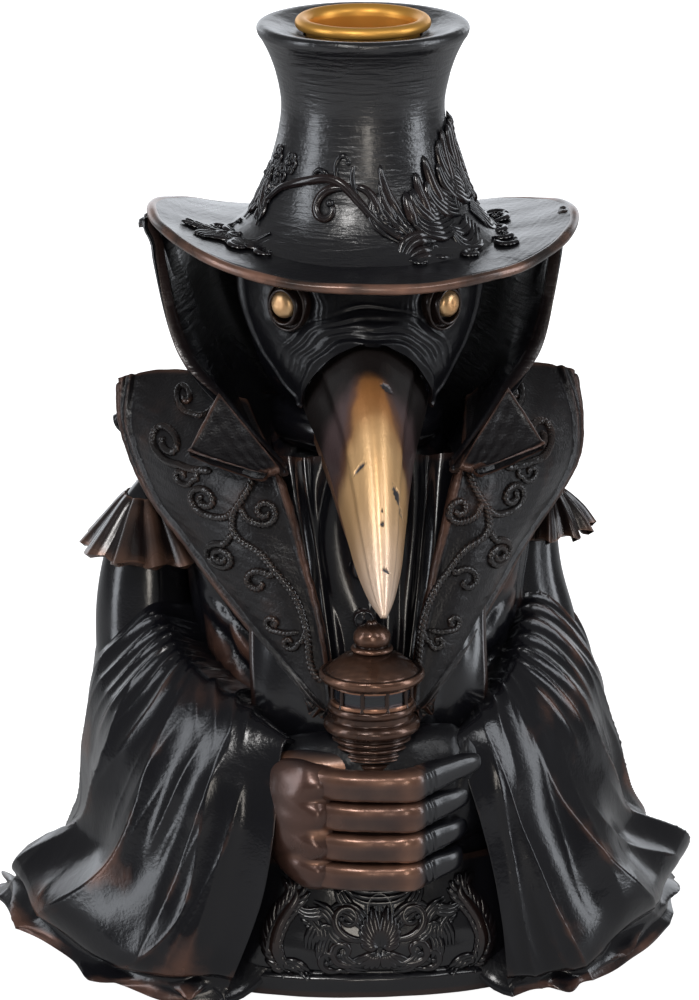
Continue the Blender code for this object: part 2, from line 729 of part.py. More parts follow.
def make_crown(brim):
    """The crown, with a pocket for the candle cup on top and a spigot through the brim into the head."""
    z = np.array([157, 160, 164, 170, 177, 185, 191, 196, 200])
    outside = [(crown_radius(h), h) for h in z[::-1]]
    pocket_r, pocket_z = CANDLE_R + 1.0 + GAP, 180.0
    profile = [(0, pocket_z), (pocket_r, pocket_z), (pocket_r, CROWN_TOP - 0.2), (pocket_r + 0.4, CROWN_TOP)]
    profile += [(22.0, CROWN_TOP), (22.7, CROWN_TOP - 0.7)] + outside + [(0, 153.5)]
    crown = turned("hat_crown", profile, "black_resin", (CROWN_X, 0, 0), 28)
    trimmed(crown, brim)
    spigot = [(0, 165), (SPIGOT_R, 165), (SPIGOT_R, 144), (0, 144)]
    return joined(crown, turned("hat_spigot", spigot, "black_resin", (CROWN_X, 0, 0), 20))


def make_crown_leaf(name, first, last, low, high, crown, brim):
    """A cast leaf spray lying on the crown between two bearings, in degrees, tapering towards both ends."""
    bearing = np.radians(np.linspace(first, last, 7))
    share = np.linspace(0, 1, 4)
    across = np.sin(np.linspace(0.25, math.pi - 0.25, 7))
    z = low + (high - low) * share[:, None] * across[None, :]
    r = crown_radius(z) + 0.9
    x, y = CROWN_X + r * np.sin(bearing)[None, :], -r * np.cos(bearing)[None, :]
    leaf = sheet(name, np.stack([x, y, z], axis=-1), 2.2, "black_resin")
    return trimmed(leaf, crown, brim)


def make_cup():
    """The brass candle cup, on an empty at the hat's axis because it lifts straight out."""
    lip_r, wall_r = 14.6, CANDLE_R + 1.0
    lip_low, floor_low, floor = CROWN_TOP + GAP, 180.4, 181.6
    profile = [
        (CANDLE_R, floor), (CANDLE_R, CUP_TOP - 1.4), (CANDLE_R + 0.6, CUP_TOP - 0.3), (CANDLE_R + 1.2, CUP_TOP),
        (lip_r - 1.3, CUP_TOP), (lip_r - 0.2, CUP_TOP - 0.9), (lip_r, lip_low + 0.6), (lip_r - 0.6, lip_low),
        (wall_r, lip_low), (wall_r, floor_low), (0, floor_low),
    ]
    profile = [(0, floor)] + profile
    lift = bpy.data.objects.new("cup_lift", None)
    lift.location = (CROWN_X * MM, 0, 0)
    bust.objects.link(lift)
    cup = turned("candle_cup", profile, "candle_brass", (0, 0, 0), 32)
    cup.parent = lift
    return cup


# ---------------------------------------------------------------- assembly
clear_scene()
bust = add_collection("plague_doctor_bust")
cutters = add_collection("cutters")
make_materials()

torso = make_torso()
felt = make_base()
robe_front = make_robe_front(torso)
stem = make_lantern()
gloves = make_gloves(stem, torso, robe_front)

brim, binding = make_brim()
crown = make_crown(brim)
make_crown_leaf("hat_leaf_front", 0, 78, 160.5, 176, crown, brim)
make_crown_leaf("hat_leaf_left", 84, 140, 160.5, 184, crown, brim)
make_crown_leaf("hat_leaf_right", -96, -40, 160.5, 175, crown, brim)
make_cup()

head = trimmed(make_head(torso), brim)
mask = trimmed(make_mask(head), brim)
beak = make_beak(mask, head)
eyes = [piece for side in (-1, 1) for piece in make_eye(side, mask, head)]
trimmed(mask, *eyes)
neck_cloth = make_neck_cloth(torso, head, mask, *beak)
collar = make_stand_collar(torso, head, neck_cloth, brim, binding)

waistcoat = trimmed(make_waistcoat(torso), neck_cloth, *beak, *gloves)
sleeves = [make_sleeve(side, torso, felt, robe_front, waistcoat, *gloves) for side in (-1, 1)]
make_robe_relief(robe_front, *sleeves)
lapels = []
for side, sleeve in zip((-1, 1), sleeves):
    lapel, piping = make_lapel(side, waistcoat, torso, sleeve, collar)
    lapels += [lapel, piping]
    make_frill(side, sleeve, torso, lapel, piping)
    make_collar_flap(side, collar, lapel, neck_cloth)
make_mantle(torso, collar, *sleeves, *lapels)
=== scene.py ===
# %% [markdown]
# # A plague doctor bust, sculpted and painted around its fixed frame
#
# The real object is a shelf ornament: a hollow figure cast in resin, sprayed gloss black, then
# rubbed with copper and gold paste wherever a finger or a dry brush would catch. The CAD frame
# settles where each casting is. This file gives every casting its modelled surface and its paint.
#
# All lengths below are millimetres. They become Blender's metres only where a mesh is built.

# %% Load the frame
import math

import bpy
import numpy as np
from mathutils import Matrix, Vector


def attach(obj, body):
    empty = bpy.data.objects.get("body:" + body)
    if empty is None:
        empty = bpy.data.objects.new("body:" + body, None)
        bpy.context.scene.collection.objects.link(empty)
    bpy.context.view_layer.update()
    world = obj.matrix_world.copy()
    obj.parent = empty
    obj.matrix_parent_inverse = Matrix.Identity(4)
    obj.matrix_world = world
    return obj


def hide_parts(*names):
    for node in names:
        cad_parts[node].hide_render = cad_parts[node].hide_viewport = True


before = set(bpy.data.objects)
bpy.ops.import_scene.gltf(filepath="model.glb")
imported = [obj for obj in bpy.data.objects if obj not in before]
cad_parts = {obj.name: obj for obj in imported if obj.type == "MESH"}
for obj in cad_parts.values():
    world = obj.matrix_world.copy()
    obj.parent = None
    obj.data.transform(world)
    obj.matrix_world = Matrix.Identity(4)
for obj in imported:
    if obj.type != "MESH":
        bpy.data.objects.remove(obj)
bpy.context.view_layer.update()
MM = 0.001
RIGHT, LEFT = -1, 1  # the figure's own sides: its right hand is at -X
CROWN_X = 1.4
LANTERN = np.array([-0.5, -50.0, 0.0])

# %% [markdown]
# ## Curves and patches
#
# A sculptor's armature is a few wires, and the surface is drawn between them. Here the wires are
# a coarse net of points. A Catmull-Rom curve through them keeps every point that was written
# down, which makes it easier to steer than a Bezier cage, whose surface misses its own handles.


# %% Smooth curves and patches
def through(points, count):
    """Catmull-Rom: between points b and c, with neighbours a and d and t from 0 to 1, the curve is
    b + t/2 (c - a + t (2a - 5b + 4c - d + t (3(b - c) + d - a))). Works along axis 0."""
    points = np.asarray(points, float)
    last = len(points) - 1
    padded = np.concatenate([[2 * points[0] - points[1]], points, [2 * points[-1] - points[-2]]])
    t = np.linspace(0, last, count)
    i = np.minimum(t.astype(int), last - 1)
    f = (t - i).reshape((-1,) + (1,) * (points.ndim - 1))
    a, b, c, d = (padded[i + k] for k in range(4))
    return b + f / 2 * (c - a + f * (2 * a - 5 * b + 4 * c - d + f * (3 * (b - c) + d - a)))


def patch(net, rows, columns):
    """A net of points made fine: through() along the rows, then along the columns."""
    along = through(net, rows)
    return through(along.swapaxes(0, 1), columns).swapaxes(0, 1)


def sheet(net, rows, columns, first=0.0):
    """patch(), with t from 0 to 1 down its rows and w from first to 1 across them."""
    t, w = np.meshgrid(np.linspace(0, 1, rows), np.linspace(first, 1, columns), indexing="ij")
    return patch(net, rows, columns), t, w


def full_turn(count):
    """Angles right round, without the last one, which would be the first again."""
    return np.linspace(0, 2 * math.pi, count, endpoint=False)


def both_halves(net):
    """A net drawn from the middle line outwards, with its mirror image put before it."""
    net = np.asarray(net, float)
    return np.concatenate([net[:, :0:-1] * [-1, 1, 1], net], axis=1)


def ease(x, low, high):
    """Smoothstep: 0 below low, 1 above high, and t t (3 - 2 t) between."""
    t = np.clip((x - low) / (high - low), 0, 1)
    return t * t * (3 - 2 * t)


def hump(x, centre, width):
    """A bell: exp(-((x - centre) / width)^2)."""
    return np.exp(-(((x - centre) / width) ** 2))


def squared_off(c, power):
    """A cosine or sine made boxy, as in a superellipse: sgn(c) |c|^(2 / power)."""
    return np.sign(c) * np.abs(c) ** (2 / power)


def pleat(x, power=0.6):
    """Cloth folds: |sin(pi x)|^power, round on top and creased at every whole x."""
    return np.abs(np.sin(np.pi * x)) ** power


def wobble(x, y, seed=0.0):
    """A hand's unevenness, about -1 to 1: sines whose wavelengths share no common multiple."""
    return (
        np.sin(1.7 * x + 2.3 * y + seed)
        + np.sin(2.9 * x - 1.3 * y + 1.9 * seed + 1.0)
        + np.sin(0.8 * x + 4.1 * y + 2.7 * seed + 2.0)
    ) / 3


def unit(vectors):
    return vectors / np.maximum(np.linalg.norm(vectors, axis=-1, keepdims=True), 1e-9)


def grid_normals(grid):
    """Unit normals: the cross product of the grid's two directions."""
    return unit(np.cross(np.gradient(grid, axis=0), np.gradient(grid, axis=1)))


def turned_forwards(out):
    """1 if a grid's normals mostly face the front, along -Y, and -1 if they face the back."""
    return float(np.sign(-out[..., 1].mean()))


def turned_away(grid, out, middle):
    """1 if a grid's normals mostly face away from a point, and -1 if they face it."""
    return float(np.sign((out * (grid - middle)).sum(axis=2).mean()))


print("a fold repeats at every whole number:", pleat(np.array([0, 0.5, 1.0])).round(2))

# %% [markdown]
# ## From grids to meshes, and the rubbed edges
#
# The copper on this kind of casting is rubbed on at the end, with a nearly dry brush, so it only
# reaches what stands proud. A shader cannot know that by itself. So each mesh is smoothed in a
# copy, and the height of the real surface over the smoothed one is stored at each point, as an
# attribute called rub. Ridges and rims get a positive value and creases a negative one. Blender's
# Pointiness would do something similar, but only at the size of one edge of the mesh.


# %% Grids into meshes
def loop_faces(rows, columns):
    """Quads of a grid whose last column joins its first."""
    index = np.arange(rows * columns).reshape(rows, columns)
    index = np.concatenate([index, index[:, :1]], axis=1)
    return np.stack(
        [index[:-1, :-1], index[:-1, 1:], index[1:, 1:], index[1:, :-1]], axis=-1
    ).reshape(-1, 4)


def closed_tube(rings, push=(0, 0)):
    """Points and faces of a stack of rings, with a pole closing each end.

    A pole is its ring's average, pushed along the stack by that many spacings of the last two rings.
    """
    rows, columns = rings.shape[:2]
    poles = [
        rings[end].mean(axis=0) + step * (rings[end] - rings[inner]).mean(axis=0)
        for end, inner, step in ((0, 1, push[0]), (-1, -2, push[1]))
    ]
    points = np.concatenate([rings.reshape(-1, 3), poles])
    index = np.arange(columns)
    after = np.roll(index, -1)
    low, high = (np.full(columns, rows * columns + k) for k in (0, 1))
    last = (rows - 1) * columns
    caps = np.concatenate(
        [
            np.stack([after, index, low, low], axis=-1),
            np.stack([index + last, after + last, high, high], axis=-1),
        ]
    )
    return points, np.concatenate([loop_faces(rows, columns), caps])


def walled(grid, wall, side=1.0):
    """An open grid made a closed shell: over the front, round a half-round rim, back along the rear
    and round again, with a strip of faces from front to rear across each end."""
    back = -grid_normals(grid) * side
    turn = np.linspace(0, math.pi, 5)[1:-1, None, None]
    centre = grid + back * wall / 2

    def rim(at, inner):
        out = unit(grid[:, at] - grid[:, inner])
        round_off = -back[:, at] * np.cos(turn) + out * np.sin(turn)
        return (centre[:, at] + round_off * wall / 2).swapaxes(0, 1)

    far, near = rim(-1, -2), rim(0, 1)
    rear = (grid + back * wall)[:, ::-1]
    rings = np.concatenate([grid, far, rear, near[:, ::-1]], axis=1)
    rows, columns = rings.shape[:2]
    # Across an end, point k of the loop faces point 2 width + 2 - k: front to rear, rim to itself.
    k = np.arange(-2, grid.shape[1] + 1)
    facing = 2 * grid.shape[1] + 2 - k
    strip = np.stack([k + 1, k, facing, facing - 1], axis=-1) % columns
    strip[0, 2] = strip[0, 3]
    strip[-1, 3] = strip[-1, 2]
    caps = [strip, strip[:, [1, 0, 3, 2]] + (rows - 1) * columns]
    return rings.reshape(-1, 3), np.concatenate([loop_faces(rows, columns), *caps])


def smoothed(values, edges, rounds):
    """Each point moved to the middle between itself and its neighbours' average, some rounds over."""
    count = len(values)
    degree = np.maximum(np.bincount(edges.ravel(), minlength=count), 1)
    for _ in range(rounds):
        total = np.stack(
            [
                np.bincount(edges[:, 0], values[edges[:, 1], k], count)
                + np.bincount(edges[:, 1], values[edges[:, 0], k], count)
                for k in range(values.shape[1])
            ],
            axis=1,
        )
        values = (values + total / degree[:, None]) / 2
    return values


def store_rub(mesh, reach):
    """rub = (point - smoothed point) . normal / reach, in millimetres over millimetres."""
    count = len(mesh.vertices)
    co, normal = np.empty(count * 3), np.empty(count * 3)
    mesh.vertices.foreach_get("co", co)
    mesh.vertices.foreach_get("normal", normal)
    edges = np.empty(len(mesh.edges) * 2, int)
    mesh.edges.foreach_get("vertices", edges)
    co, normal, edges = co.reshape(-1, 3), normal.reshape(-1, 3), edges.reshape(-1, 2)
    spacing = np.median(np.linalg.norm(co[edges[:, 0]] - co[edges[:, 1]], axis=1)) / MM
    rounds = int(np.clip((reach / max(spacing, 0.05)) ** 2 * 2, 4, 60))
    height = ((co - smoothed(co, edges, rounds)) * normal).sum(axis=1) / (reach * MM)
    mesh.attributes.new("rub", "FLOAT", "POINT").data.foreach_set("value", height.astype(np.float32))


# %% Pieces
made = []


def piece(
    name, parts, material, body="bust", instead_of=(), reach=2.0, marks=None, sharp=55
):
    """One finished object from (points, faces) parts, in millimetres, riding on a body."""
    points, faces, first = [], [], 0
    for part_points, part_faces in parts:
        points.append(np.asarray(part_points, float).reshape(-1, 3))
        faces.append(np.asarray(part_faces) + first)
        first += len(points[-1])
    points, faces = np.concatenate(points) * MM, np.concatenate(faces)
    mesh = bpy.data.meshes.new(name)
    # A quad whose last two corners are one point is a triangle at a pole.
    triangle = faces[:, 2] == faces[:, 3]
    sizes = np.where(triangle, 3, 4)
    corners = faces.ravel()[np.repeat(sizes, 4) > np.tile(np.arange(4), len(faces))]
    mesh.vertices.add(len(points))
    mesh.vertices.foreach_set("co", points.astype(np.float32).ravel())
    mesh.loops.add(len(corners))
    mesh.loops.foreach_set("vertex_index", corners.astype(np.int32))
    mesh.polygons.add(len(faces))
    mesh.polygons.foreach_set("loop_start", (np.cumsum(sizes) - sizes).astype(np.int32))
    mesh.update(calc_edges=True)
    mesh.validate()
    mesh.shade_smooth()
    mesh.set_sharp_from_angle(angle=math.radians(sharp))
    for label, values in (marks or {}).items():
        mesh.attributes.new(label, "FLOAT", "POINT").data.foreach_set(
            "value", np.asarray(values, np.float32).ravel()
        )
    face_outwards(mesh)
    store_rub(mesh, reach)
    obj = bpy.data.objects.new(name, mesh)
    bpy.context.scene.collection.objects.link(obj)
    mesh.materials.append(material)
    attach(obj, body)
    if instead_of:
        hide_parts(*instead_of)
    made.append(obj)
    print(f"{name}: {len(points)} points")
    return obj


def face_outwards(mesh):
    """Turns every face round if the mesh's signed volume, the sum of a . (b x c) / 6, is negative."""
    mesh.calc_loop_triangles()
    corners = np.empty(len(mesh.loop_triangles) * 3, int)
    mesh.loop_triangles.foreach_get("vertices", corners)
    co = np.empty(len(mesh.vertices) * 3)
    mesh.vertices.foreach_get("co", co)
    a, b, c = co.reshape(-1, 3)[corners].reshape(-1, 3, 3).swapaxes(0, 1)
    if (a * np.cross(b, c)).sum() < 0:
        mesh.flip_normals()


# %% [markdown]
# ## Tubes, ropes and turned pieces
#
# Beads, cords and tendrils are all one thing: a section carried along a path. The section's frame
# must not spin on the way. Here one axis is always square to the surface that the path lies on, so
# a flattened tendril stays flat on the hat and a cord's strands keep an even twist.


# %% Sections along paths
def frame_along(path, up):
    """Two unit vectors square to a path at each of its points: one to the side, one as near up as it goes."""
    tangent = unit(np.gradient(path, axis=0))
    side = unit(np.cross(tangent, np.broadcast_to(up, path.shape)))
    return side, np.cross(side, tangent)


def carried(path, radius, up=(0, 0, 1), flat=1.0, sides=8, strands=0, pitch=4.0):
    """A tube: path + r (cos a side + flat sin a up). With strands, r = radius (0.7 + 0.46 |cos|^0.8) and
    the cosine's argument, strands/2 (a - 2 pi s / pitch), winds the strands round as s goes on."""
    path = np.asarray(path, float)
    side, over = frame_along(path, up)
    angle = full_turn(sides)
    r = np.broadcast_to(radius, len(path))[:, None] * np.ones(sides)
    if strands:
        run = np.concatenate([[0], np.cumsum(np.linalg.norm(np.diff(path, axis=0), axis=1))])
        wind = strands / 2 * (angle[None, :] - 2 * math.pi * run[:, None] / pitch)
        r = r * (0.70 + 0.46 * np.abs(np.cos(wind)) ** 0.8)
    rings = (
        path[:, None]
        + (r * np.cos(angle))[..., None] * side[:, None]
        + (flat * r * np.sin(angle))[..., None] * over[:, None]
    )
    return closed_tube(rings)


def turned(profile, centre=(0, 0, 0), sides=96):
    """A lathe: (radius, height) points from the bottom up, carried round the axis through centre."""
    profile = np.asarray(profile, float)
    angle = full_turn(sides)
    r, z = np.maximum(profile[:, 0], 1e-3)[:, None], profile[:, 1][:, None]
    rings = np.stack([r * np.cos(angle), r * np.sin(angle), z + 0 * angle], axis=-1)
    return closed_tube(rings + np.asarray(centre, float))


def stroke(length, heading, curl=0.0, more_curl=0.0, count=24):
    """A pen stroke on a flat sheet: its heading after s is heading + curl s + more_curl s^2 / 2, in
    radians and millimetres, and the line is the running sum of (cos heading, sin heading)."""
    s = np.linspace(0, length, count)
    angle = heading + curl * s + more_curl * s * s / 2
    step = np.stack([np.cos(angle), np.sin(angle)], axis=1) * length / (count - 1)
    return np.concatenate([[[0, 0]], np.cumsum((step[1:] + step[:-1]) / 2, axis=0)])


def taper(count, root, belly, tip, at=0.35):
    """Radii along a leaf: root to belly over the first part, then down to tip, eased both ways."""
    s = np.linspace(0, 1, count)
    rise = root + (belly - root) * ease(s, 0, at)
    fall = tip + (belly - tip) * np.sqrt(np.clip(1 - ((s - at) / (1 - at)) ** 2, 0, 1))
    return np.where(s < at, rise, fall)


print("a stroke of 10 mm ends at", stroke(10, 0.0, 0.1)[-1].round(2))

# %% [markdown]
# ## Paint
#
# Three coats make the finish. Gloss black goes on everything. Hands, lantern, ruffles and the
# brim's edge get dark bronze. Copper paste is then rubbed over what stands proud. The paste is a
# metal, so where it lies the shader turns metallic and takes the copper's colour, and the same
# mask raises the roughness a little, because a rubbed paste is duller than the lacquer under it.
#
# Two effects come back in every finish, so each is a node group: where the paste has caught, and
# the small lumps that a mould leaves in cast resin.


# %% Node helpers
def add(tree, kind, inputs=(), **settings):
    """A new node: settings are its properties, inputs are (socket, value or output) pairs."""
    node = tree.nodes.new(kind)
    for key, value in settings.items():
        setattr(node, key, value)
    for socket, value in inputs:
        if isinstance(value, bpy.types.NodeSocket):
            tree.links.new(value, node.inputs[socket])
        else:
            node.inputs[socket].default_value = value
    return node


def new_group(name, inputs, outputs):
    """An empty node group with float inputs (name, default) and float outputs."""
    tree = bpy.data.node_groups.new(name, "ShaderNodeTree")
    for label, default in inputs:
        tree.interface.new_socket(
            label, in_out="INPUT", socket_type="NodeSocketFloat"
        ).default_value = default
    for label in outputs:
        tree.interface.new_socket(label, in_out="OUTPUT", socket_type="NodeSocketFloat")
    return tree, tree.nodes.new("NodeGroupInput"), tree.nodes.new("NodeGroupOutput")


def math_node(tree, operation, a, b=0.0):
    return add(tree, "ShaderNodeMath", [(0, a), (1, b)], operation=operation).outputs[0]


def span(tree, value, low, high, to_low=0.0, to_high=1.0):
    """value's range low..high stretched to to_low..to_high, eased at both ends."""
    inputs = [
        ("Value", value), ("From Min", low), ("From Max", high), ("To Min", to_low), ("To Max", to_high)
    ]
    return add(tree, "ShaderNodeMapRange", inputs, interpolation_type="SMOOTHSTEP").outputs["Result"]


def noise(tree, at, scale, detail, **settings):
    inputs = [("Vector", at), ("Scale", scale), ("Detail", detail), *settings.items()]
    return add(tree, "ShaderNodeTexNoise", inputs).outputs["Fac"]


# %% Group: where the dry brush catches
rubbed, start, end = new_group(
    "dry_brush", [("Low", 0.02), ("High", 0.2), ("Patchy", 0.15), ("Scale", 90.0), ("Cap", 1.0)], ["Mask"]
)
at = add(rubbed, "ShaderNodeTexCoord").outputs["Object"]
height = add(rubbed, "ShaderNodeAttribute", attribute_name="rub").outputs["Fac"]
height = math_node(rubbed, "MINIMUM", height, start.outputs["Cap"])
uneven = math_node(rubbed, "SUBTRACT", noise(rubbed, at, start.outputs["Scale"], 5.0), 0.5)
uneven = math_node(rubbed, "MULTIPLY", uneven, start.outputs["Patchy"])
caught = span(rubbed, math_node(rubbed, "ADD", height, uneven), start.outputs["Low"], start.outputs["High"])
rubbed.links.new(caught, end.inputs["Mask"])
print("node group:", rubbed.name)

# %% Group: the mould's small lumps and the brush's streaks
skin, start, end = new_group(
    "cast_skin", [("Lumps", 1.0), ("Grain", 0.4), ("Streaks", 0.0), ("Streak width", 900.0)],
    ["Height", "Sheen"]
)
at = add(skin, "ShaderNodeTexCoord").outputs["Object"]
lumps, grain = noise(skin, at, 220.0, 4.0), noise(skin, at, 1600.0, 2.0)
level = add(skin, "ShaderNodeMapping", [("Vector", at), ("Scale", (0.12, 0.12, 1.0))])
streaks = noise(skin, level.outputs["Vector"], start.outputs["Streak width"], 3.0, Distortion=0.6)
total = math_node(skin, "MULTIPLY", lumps, start.outputs["Lumps"])
total = math_node(skin, "ADD", total, math_node(skin, "MULTIPLY", grain, start.outputs["Grain"]))
total = math_node(skin, "ADD", total, math_node(skin, "MULTIPLY", streaks, start.outputs["Streaks"]))
skin.links.new(total, end.inputs["Height"])
skin.links.new(noise(skin, at, 60.0, 3.0), end.inputs["Sheen"])
print("node group:", skin.name)


# %% Materials
def group_node(tree, group, **values):
    """A node group placed in a material, with its inputs set."""
    node = tree.nodes.new("ShaderNodeGroup")
    node.node_tree = group
    for label, value in values.items():
        node.inputs[label.replace("_", " ")].default_value = value
    return node


def mixed(tree, factor, a, b):
    """Colour a where factor is 0 and b where it is 1. Either may be a colour or a socket."""
    sockets = [c if isinstance(c, bpy.types.NodeSocket) else (*c, 1.0) for c in (a, b)]
    node = tree.nodes.new("ShaderNodeMix")
    node.data_type = "RGBA"
    # The mix node has a set of sockets for each data type: 0 is the factor, 6 and 7 the colours.
    for index, value in ((0, factor), (6, sockets[0]), (7, sockets[1])):
        if isinstance(value, bpy.types.NodeSocket):
            tree.links.new(value, node.inputs[index])
        else:
            node.inputs[index].default_value = value
    return node.outputs[2]


def attribute(tree, name):
    return add(tree, "ShaderNodeAttribute", attribute_name=name).outputs["Fac"]


def new_material(name):
    material = bpy.data.materials.new(name)
    material.use_nodes = True
    return material, material.node_tree, material.node_tree.nodes["Principled BSDF"]


def painted(
    name, base, paste, low=0.03, high=0.22, patchy=0.16, most=1.0, metal=(0.0, 0.85),
    gloss=(0.22, 0.36), coat=0.3, lumps=1.0, grain=0.35, streaks=0.0, bump=0.12, cap=1.0, scale=90.0,
    shaded=False, shine=0.5
):
    """Lacquer with paste rubbed over it: colour, metal and roughness all follow the dry brush."""
    material, tree, shader = new_material(name)
    brush = group_node(tree, rubbed, Low=low, High=high, Patchy=patchy, Cap=cap, Scale=scale)
    cast = group_node(tree, skin, Lumps=lumps, Grain=grain, Streaks=streaks)
    mask = math_node(tree, "MULTIPLY", brush.outputs["Mask"], most)
    # With shaded, a shade attribute darkens the colour towards black and holds the paste and its metal off.
    # On the right hand this is painted shade; on the sleeves, whose colour is black already, it only keeps
    # the paste away.
    if shaded:
        dark = attribute(tree, "shade")
        mask = math_node(tree, "MULTIPLY", mask, math_node(tree, "SUBTRACT", 1.0, dark))
        base = mixed(tree, dark, base, BLACK)
    rough = math_node(
        tree, "ADD", math_node(tree, "MULTIPLY", cast.outputs["Sheen"], 0.16), gloss[0] - 0.08
    )
    rough = math_node(tree, "ADD", rough, math_node(tree, "MULTIPLY", mask, gloss[1] - gloss[0]))
    metallic = math_node(tree, "ADD", math_node(tree, "MULTIPLY", mask, metal[1] - metal[0]), metal[0])
    if shaded:
        metallic = math_node(tree, "MULTIPLY", metallic, math_node(tree, "SUBTRACT", 1.0, dark))
    relief = add(
        tree, "ShaderNodeBump",
        [("Height", cast.outputs["Height"]), ("Distance", 0.0006), ("Strength", bump)]
    )
    tree.links.new(mixed(tree, mask, base, paste), shader.inputs["Base Color"])
    tree.links.new(rough, shader.inputs["Roughness"])
    tree.links.new(metallic, shader.inputs["Metallic"])
    tree.links.new(relief.outputs["Normal"], shader.inputs["Normal"])
    shader.inputs["Coat Weight"].default_value = coat
    shader.inputs["Coat Roughness"].default_value = 0.16
    shader.inputs["Specular IOR Level"].default_value = shine
    return material


BLACK = (0.0055, 0.0055, 0.0075)
UMBER = (0.026, 0.013, 0.010)
BROWN = (0.10, 0.047, 0.031)
BRIGHT_COPPER = (0.56, 0.29, 0.18)
black = painted(
    "black_lacquer", BLACK, BROWN, low=0.12, high=0.5, patchy=0.3, most=0.3, cap=0.4, gloss=(0.20, 0.32)
)
mask_black = painted(
    "mask_lacquer", (0.005, 0.005, 0.0065), BROWN, low=0.3, high=0.8, most=0.2, gloss=(0.30, 0.36),
    coat=0.05, lumps=2.2, grain=0.6, bump=0.16, shine=0.28
)
hat_black = painted(
    "hat_lacquer", BLACK, BROWN, low=0.2, high=0.7, most=0.25, streaks=1.6, bump=0.34,
    gloss=(0.30, 0.40), coat=0.3, shine=0.8
)
robe_black = painted(
    "robe_lacquer", BLACK, (0.20, 0.098, 0.068), low=0.07, high=0.42, patchy=1.15, most=0.75, cap=0.14,
    scale=55.0, metal=(0.0, 0.6), gloss=(0.19, 0.32), lumps=1.6, bump=0.16, coat=0.15, shine=0.36,
    shaded=True
)
lapel_black = painted(
    "lapel_lacquer", (0.009, 0.008, 0.009), (0.20, 0.100, 0.068), low=0.05, high=0.6, patchy=0.8,
    most=0.5, cap=0.42, gloss=(0.36, 0.42), coat=0.1, lumps=1.4, grain=1.0, bump=0.3, shine=0.3
)
ring_bronze = painted(
    "ring_paste", (0.020, 0.011, 0.009), (0.50, 0.25, 0.155), low=0.12, high=0.65, patchy=0.3,
    most=0.85, metal=(0.4, 0.95), gloss=(0.26, 0.32)
)
cord_black = painted(
    "cord_lacquer", (0.010, 0.008, 0.008), (0.19, 0.105, 0.075), low=0.2, high=1.0, patchy=0.9,
    most=0.6, gloss=(0.26, 0.36), shine=0.4
)
relief_black = painted("relief_lacquer", BLACK, BROWN, low=0.3, high=0.9, most=0.25, gloss=(0.18, 0.3))
bronze = painted(
    "bronze_paste", UMBER, BRIGHT_COPPER, low=-0.12, high=0.36, patchy=0.3, most=0.75,
    metal=(0.45, 0.95), gloss=(0.26, 0.34), lumps=1.2
)
glove_bronze = painted(
    "glove_paste", (0.095, 0.048, 0.036), (0.72, 0.38, 0.24), low=0.04, high=0.7, patchy=0.5, most=0.9,
    metal=(0.55, 0.95), gloss=(0.30, 0.32), lumps=1.6, shaded=True
)
lantern_bronze = painted(
    "lantern_paste", (0.036, 0.019, 0.014), (0.42, 0.21, 0.13), low=-0.04, high=0.4, patchy=0.3,
    most=0.8, metal=(0.6, 0.95), gloss=(0.26, 0.34), lumps=0.8
)
welt_bronze = painted(
    "welt_paste", (0.018, 0.012, 0.010), (0.62, 0.32, 0.22), low=-0.08, high=0.5, patchy=0.8, most=0.85,
    metal=(0.1, 0.9), gloss=(0.27, 0.36)
)
ruffle_bronze = painted(
    "ruffle_paste", (0.012, 0.008, 0.008), (0.20, 0.108, 0.074), low=0.04, high=0.7, patchy=0.6,
    most=0.6, metal=(0.1, 0.8)
)
print("lacquers:", [m.name for m in (black, hat_black, robe_black, lapel_black, relief_black, bronze)])

# %% [markdown]
# ## Gold, glass, brass, felt and board
#
# The beak is sprayed, not rubbed: nearly black where it leaves the mask, amber gold along the
# ridge and paler towards the tip, with a mauve shade down its steep sides. Its colours follow two
# attributes stored on the mesh, one along the beak and one across it. The real finish has a few
# chips through to the black, which a third attribute places.


# %% Beak, eyes, cup, panes and base
def beak_paint():
    material, tree, shader = new_material("beak_gold")
    along, across, chip = (attribute(tree, label) for label in ("along", "across", "chip"))
    at = add(tree, "ShaderNodeTexCoord").outputs["Object"]
    cloud = noise(tree, at, 130.0, 6.0)
    along = math_node(
        tree, "ADD", along, math_node(tree, "MULTIPLY", math_node(tree, "SUBTRACT", cloud, 0.5), 0.12)
    )
    # The gold is a flame: a narrow tongue up the ridge that widens until it fills the beak.
    colour = mixed(tree, span(tree, along, 0.20, 0.38), (0.46, 0.19, 0.055), (0.88, 0.54, 0.25))
    colour = mixed(tree, span(tree, along, 0.42, 0.85), colour, (0.86, 0.64, 0.48))
    flame = math_node(tree, "SUBTRACT", across, span(tree, along, 0.08, 0.40, 0.16, 1.08))
    colour = mixed(tree, span(tree, flame, -0.16, 0.08), colour, (0.20, 0.095, 0.060))
    colour = mixed(tree, span(tree, flame, 0.02, 0.26), colour, (0.135, 0.088, 0.088))
    colour = mixed(tree, span(tree, along, 0.12, 0.22), (0.010, 0.007, 0.0065), colour)
    colour = mixed(tree, chip, colour, (0.02, 0.018, 0.022))
    tree.links.new(colour, shader.inputs["Base Color"])
    metal = math_node(
        tree, "MULTIPLY", span(tree, along, 0.06, 0.25, 0.2, 0.72), math_node(tree, "SUBTRACT", 1.0, chip)
    )
    tree.links.new(metal, shader.inputs["Metallic"])
    rough = math_node(tree, "ADD", math_node(tree, "MULTIPLY", cloud, 0.2), 0.32)
    tree.links.new(rough, shader.inputs["Roughness"])
    cast = group_node(tree, skin, Lumps=1.2, Grain=1.0, Streaks=0.0)
    relief = add(
        tree, "ShaderNodeBump",
        [("Height", cast.outputs["Height"]), ("Distance", 0.0005), ("Strength", 0.12)]
    )
    tree.links.new(relief.outputs["Normal"], shader.inputs["Normal"])
    shader.inputs["Coat Weight"].default_value = 0.35
    shader.inputs["Coat Roughness"].default_value = 0.2
    return material


